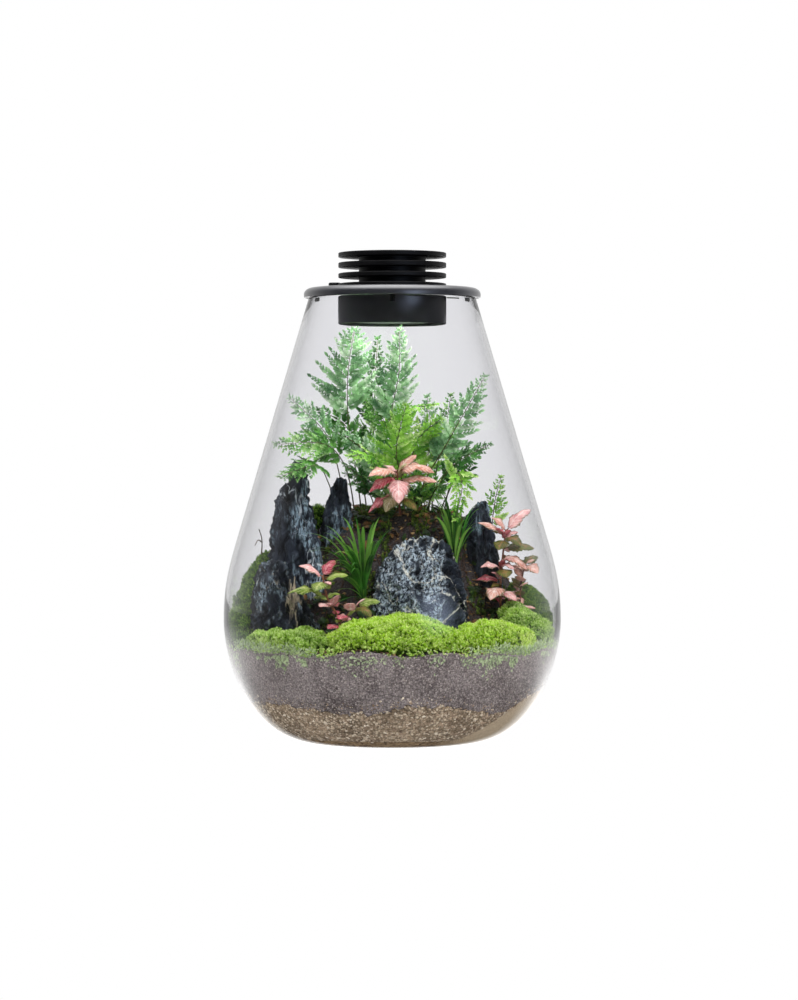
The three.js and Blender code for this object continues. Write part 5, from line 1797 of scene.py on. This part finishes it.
def makeTufts():
    leaf = strapMaterial()
    for node, tuft in tufts.items():
        x, y = tuft["root"]
        foot = soilTop(x, y)
        parts = []
        tips = [Vector(tip) for tip in tuft["tips"]]
        for _ in range(tuft["extra"]):
            one, other = random.sample(tips, 2)
            mixed = one.lerp(other, draw(0, 0.45))
            mixed += Vector((draw(-5, 5), draw(-5, 5), draw(-14, 4)))
            tips.append(mixed)
        for tip in tips:
            angle = math.atan2(tip.y - y, tip.x - x) + draw(-0.25, 0.25)
            reach = draw(0.8, 2.4)
            start = Vector((x + reach * math.cos(angle), y + reach * math.sin(angle), foot - 1))
            parts.append(strapOf(start, tip, tuft["width"] * draw(0.45, 0.85), draw(0.04, 0.4)))
        name = camelName(node.replace("grass", "strapTuft"))
        finish(pieceOf("tuft", parts), name, [leaf], "grass_leaf", node)


makeTufts()
print("tufts done")


# Moss

cushions = {
    "moss_front": {"finish": "bright", "tall": 3.0, "density": 1.6},
    "moss_right": {"finish": "bright", "tall": 2.8, "density": 2.0},
    "moss_right_edge": {"finish": "mid", "tall": 2.8, "density": 1.9},
    "moss_far_right": {"finish": "dark", "tall": 3.2, "density": 1.9},
    "moss_front_left": {"finish": "mid", "tall": 2.8, "density": 1.9},
    "moss_left_tuft": {"finish": "dark", "tall": 4.0, "density": 1.8},
    "moss_left_bank": {"finish": "dark", "tall": 4.4, "density": 1.8},
    "moss_back_bank": {"finish": "dark", "tall": 3.0, "density": 0.7},
    "moss_ledge": {"finish": "dark", "tall": 2.2, "density": 0.9},
}
mossColours = {
    "bright": ("30500a", "86b222", "bee63a", "f8ffae"),
    "mid": ("2e4a12", "70a032", "aad24e", "ebf8ae"),
    "shade": ("18220d", "32441a", "506828", "849e46"),
    "dark": ("142808", "35581a", "527e28", "9ab850"),
    "wet": ("5c6656", "8a9a76", "aec192", "dce8c0"),
}
cushionShape = {"voxel": 1.7, "lumps": (5.4, 10), "sunk": 1.3, "knobs": (2.4, 4.5), "base": 0.15}
groundMoss = {
    "shoots": 3200, "bare": 0.14, "tall": (2.2, 4.4), "fallen": 420, "width": (1.4, 3.4),
    "length": (5, 11), "arch": 6,
}
hanging = {
    "count": 2500, "sides": (-2.35, -0.75), "clumped": 0.7, "spread": 0.3, "lowest": 54,
    "tall": (1.4, 3.4), "flat": 0.06,
}


# A shoot, one unit tall, with small leaves that spiral round it. Its tone rises to the tip.
def shootShape():
    points, faces = [], []
    for i in range(7):
        angle = i * 2.4
        height = 0.05 + 0.72 * i / 7
        reach = 0.42 - 0.2 * i / 7
        out = Vector((math.cos(angle), math.sin(angle), 0))
        side = Vector((-out.y, out.x, 0)) * 0.1
        foot = Vector((0, 0, height))
        middle = foot + out * reach * 0.55 + Vector((0, 0, 0.24))
        tip = foot + out * reach + Vector((0, 0, 0.48))
        base = len(points)
        points += [foot, middle + side, tip, middle - side]
        faces.append((base, base + 1, base + 2))
        faces.append((base, base + 2, base + 3))
    points = np.array(points)
    return {"points": points, "faces": np.array(faces), "tone": np.clip(points[:, 2], 0, 1)}


# Even spots on a mesh, with the surface's direction at each
def spotsOn(mesh, perSquareMm):
    mesh.calc_loop_triangles()
    corners = np.array([tuple(t.vertices) for t in mesh.loop_triangles])
    points = np.array([v.co for v in mesh.vertices])
    a, b, c = (points[corners[:, k]] for k in range(3))
    cross = np.cross(b - a, c - a)
    areas = np.linalg.norm(cross, axis=1) / 2
    count = int(areas.sum() / mm**2 * perSquareMm)
    chosen = np.random.choice(len(areas), count, p=areas / areas.sum())
    s, t = np.random.rand(2, count)
    over = s + t > 1
    s[over], t[over] = 1 - s[over], 1 - t[over]
    spots = a[chosen] + s[:, None] * (b - a)[chosen] + t[:, None] * (c - a)[chosen]
    normals = cross[chosen] / (2 * areas[chosen])[:, None]
    return zip(spots, normals)


def mossMaterial(name, dark, middle, light, tip):
    material, tree, skin, place = newMaterial(
        "moss" + name.capitalize(), **{"Roughness": 0.8, "Specular IOR Level": 0.15}
    )
    cloud = useGroup(tree, mottle, Place=place, Scale=70.0, Low=0.25, High=0.6,
                     Dark=tint(middle), Light=tint(light))
    own = toneOf(tree)
    low = mixColours(tree, mapped(tree, own, 0.12, 0.5), tint(dark), cloud["Colour"])
    colour = mixColours(tree, mapped(tree, own, 0.5, 0.95, 0, 0.85), low, tint(tip))
    tree.links.new(colour, skin["Base Color"])
    tree.links.new(bump(tree, noiseOf(tree, place, 900.0, 4.0), 0.0008, 0.7), skin["Normal"])
    shineThrough(tree, colour, 0.3)
    return material


# Thin moss and small fallen leaves on the bare hill behind the stones
def makeGroundMoss(shoot, skin):
    places = []
    while len(places) < groundMoss["shoots"]:
        x, y = draw(-85, 85), draw(-30, 108)
        if noise.noise(Vector((x / 14, y / 14, 9))) < groundMoss["bare"]:
            continue
        lean = Vector((draw(-0.5, 0.5), draw(-0.7, 0.3), 1)).normalized()
        right = anySide(lean)
        at = Vector((x, y, soilTop(x, y) + 0.2)) * mm
        places.append(placeOf(at, right, lean.cross(right), lean, (draw(*groundMoss["tall"]) * mm,) * 3))
    leaf = nerveLeafShape(0.3, 0.1, 8, 5)
    fallen = []
    for _ in range(groundMoss["fallen"]):
        x, y = draw(-66, 78), draw(-38, 80)
        lean = Vector((draw(-0.6, 0.6), draw(-1, 0.2), 0.8)).normalized()
        along = anySide(lean)
        at = Vector((x, y, soilTop(x, y) + draw(0.8, 2.6))) * mm
        wide, long = draw(*groundMoss["width"]), draw(*groundMoss["length"])
        size = (wide * mm, long * mm, groundMoss["arch"] * mm)
        fallen.append(placeOf(at, along.cross(lean), along, lean, size))
    greens = [place for i, place in enumerate(fallen) if i % 3]
    parts = [copies(shoot, places), copies(leaf, greens, 1), copies(leaf, fallen[::3], 2)]
    piece = pieceOf("groundMoss", parts)
    fitInGlass(piece.data, jar["leafGap"])
    dead = nerveMaterial("deadLeaf", "3a2416", "714c2c", "9c7448")
    low = nerveMaterial("groundLeaf", "0f1c0c", "223a18", "3c5c2c")
    finish(piece, "hillMossAndLeaves", [skin, low, dead], "moss")


# Loose shoots that hang between the moss and the glass, paler and wet
def makeHangingMoss(shoot, skins):
    seam, strands = [], []
    while len(strands) < hanging["count"]:
        angle = draw(-math.pi, math.pi)
        if random.random() < hanging["clumped"]:
            angle = random.gauss(random.choice(hanging["sides"]), hanging["spread"])
        dx, dy = math.cos(angle), math.sin(angle)
        thick = noise.noise(Vector((3 * dx, 3 * dy, 4))) + noise.noise(Vector((13 * dx, 13 * dy, 1)))
        depth = abs(random.gauss(0, 1)) * max(0.8, 3.5 + 9 * thick)
        top = soilTop(120 * dx, 120 * dy)
        z = top + draw(-1, 5) - depth
        if z < hanging["lowest"]:
            continue
        r = wallRadius(z) + 0.05
        out = Vector((dx, dy, 0))
        lean = Matrix.Rotation(draw(-1.4, 1.4), 3, out) @ -up
        if z > top - 2:
            lean.negate()
        tall = draw(*hanging["tall"]) * mm
        at = Vector((r * dx, r * dy, z)) * mm
        place = placeOf(at, lean.cross(out), out, lean, (tall, tall * hanging["flat"], tall))
        if z < top - 2 or (abs(dx) > 0.45 and random.random() < 0.6):
            strands.append(place)
        elif random.random() < 0.5:
            seam.append(place)
    piece = pieceOf("strands", [copies(shoot, seam, 0), copies(shoot, strands, 1)])
    finish(piece, "mossHangingStrands", [skins["mid"], skins["wet"]], "moss")


# The cushion's own mound, with rounded lumps and knobs
def lumpyMound(node):
    piece = copyOfNode(node)
    modify(piece, "REMESH", mode="VOXEL", voxel_size=cushionShape["voxel"] * mm)
    modify(piece, "SMOOTH", factor=0.5, iterations=6)
    (lump, wide), (knob, narrow) = cushionShape["lumps"], cushionShape["knobs"]
    moved = []
    for vertex in piece.data.vertices:
        p = vertex.co / mm
        out = lump * abs(noise.noise(p / wide)) - cushionShape["sunk"]
        out += knob * abs(noise.noise(p / narrow + up * 7))
        moved.append(vertex.co + vertex.normal * out * mm)
    reshape(piece.data, moved)
    fitInGlass(piece.data, 0.3)
    return piece


def makeCushion(node, cushion, shoot, skin):
    piece = lumpyMound(node)
    places, tones = [], []
    for spot, normal in spotsOn(piece.data, cushion["density"]):
        x, y, z = spot / mm
        if normal[2] < -0.2 or z < soilTop(x, y) - 1:
            continue
        tall = cushion["tall"] * draw(0.6, 1.2)
        lean = Vector(normal) * 0.75 + up * 0.6 + Vector((draw(-1, 1), draw(-1, 1), 0)) * 0.35
        lean.normalize()
        end = Vector(spot) / mm + lean * tall
        if end.z < soilTop(end.x, end.y):
            continue
        right = anySide(lean)
        places.append(placeOf(Vector(spot), right, lean.cross(right), lean, (tall * mm,) * 3))
        tones.append(draw(0, 1))
    base = shapeOf(piece)
    base["tone"] = cushionShape["base"]
    whole = pieceOf("moss", [base, copies(shoot, places, 0, tones)])
    fitInGlass(whole.data, 0.1)
    finish(whole, camelName(node.replace("moss", "mossCushion")), [skin], "moss", node)


def makeMoss():
    skins = {name: mossMaterial(name, *colours) for name, colours in mossColours.items()}
    shoot = shootShape()
    makeHangingMoss(shoot, skins)
    makeGroundMoss(shoot, skins["shade"])
    for node, cushion in cushions.items():
        makeCushion(node, cushion, shoot, skins[cushion["finish"]])


makeMoss()
print("moss done")


# Dead twig

twig = {
    "root": (-98, 14), "bend": (-97.5, 11, 150), "tip": (-99, 0, 158), "radius": 0.7,
    "fork": (-96, 8, 147), "side": [(-100, 2, 150), (-102, -2, 146)], "sideRadius": 0.5,
}


def makeTwig():
    x, y = twig["root"]
    foot = soilTop(x, y)
    way = wayThrough([(x, y, foot - 8), (x, y, foot + 24), twig["bend"], twig["tip"]], 40)
    fork = min(way, key=lambda p: (p - Vector(twig["fork"])).length)
    side = wayThrough([fork, *twig["side"]], 14)
    parts = []
    for line, thick in ((way, twig["radius"]), (side, twig["sideRadius"])):
        radii = [
            thick * (1.1 - 0.6 * i / len(line)) * (1 + 0.25 * noise.noise(p / 3)) * mm
            for i, p in enumerate(line)
        ]
        parts.append(stalkOf([p * mm for p in line], radii, 8))
    bark = stalkMaterial("twigBark", "33271d", "6b5743")
    finish(pieceOf("twig", parts), "deadTwig", [bark], "twig_wood", "dead_twig")


makeTwig()
print("twig done")

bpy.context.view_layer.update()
faces = sum(len(piece.data.polygons) for piece in bpy.data.objects if piece.type == "MESH")
print("faces in all:", faces)
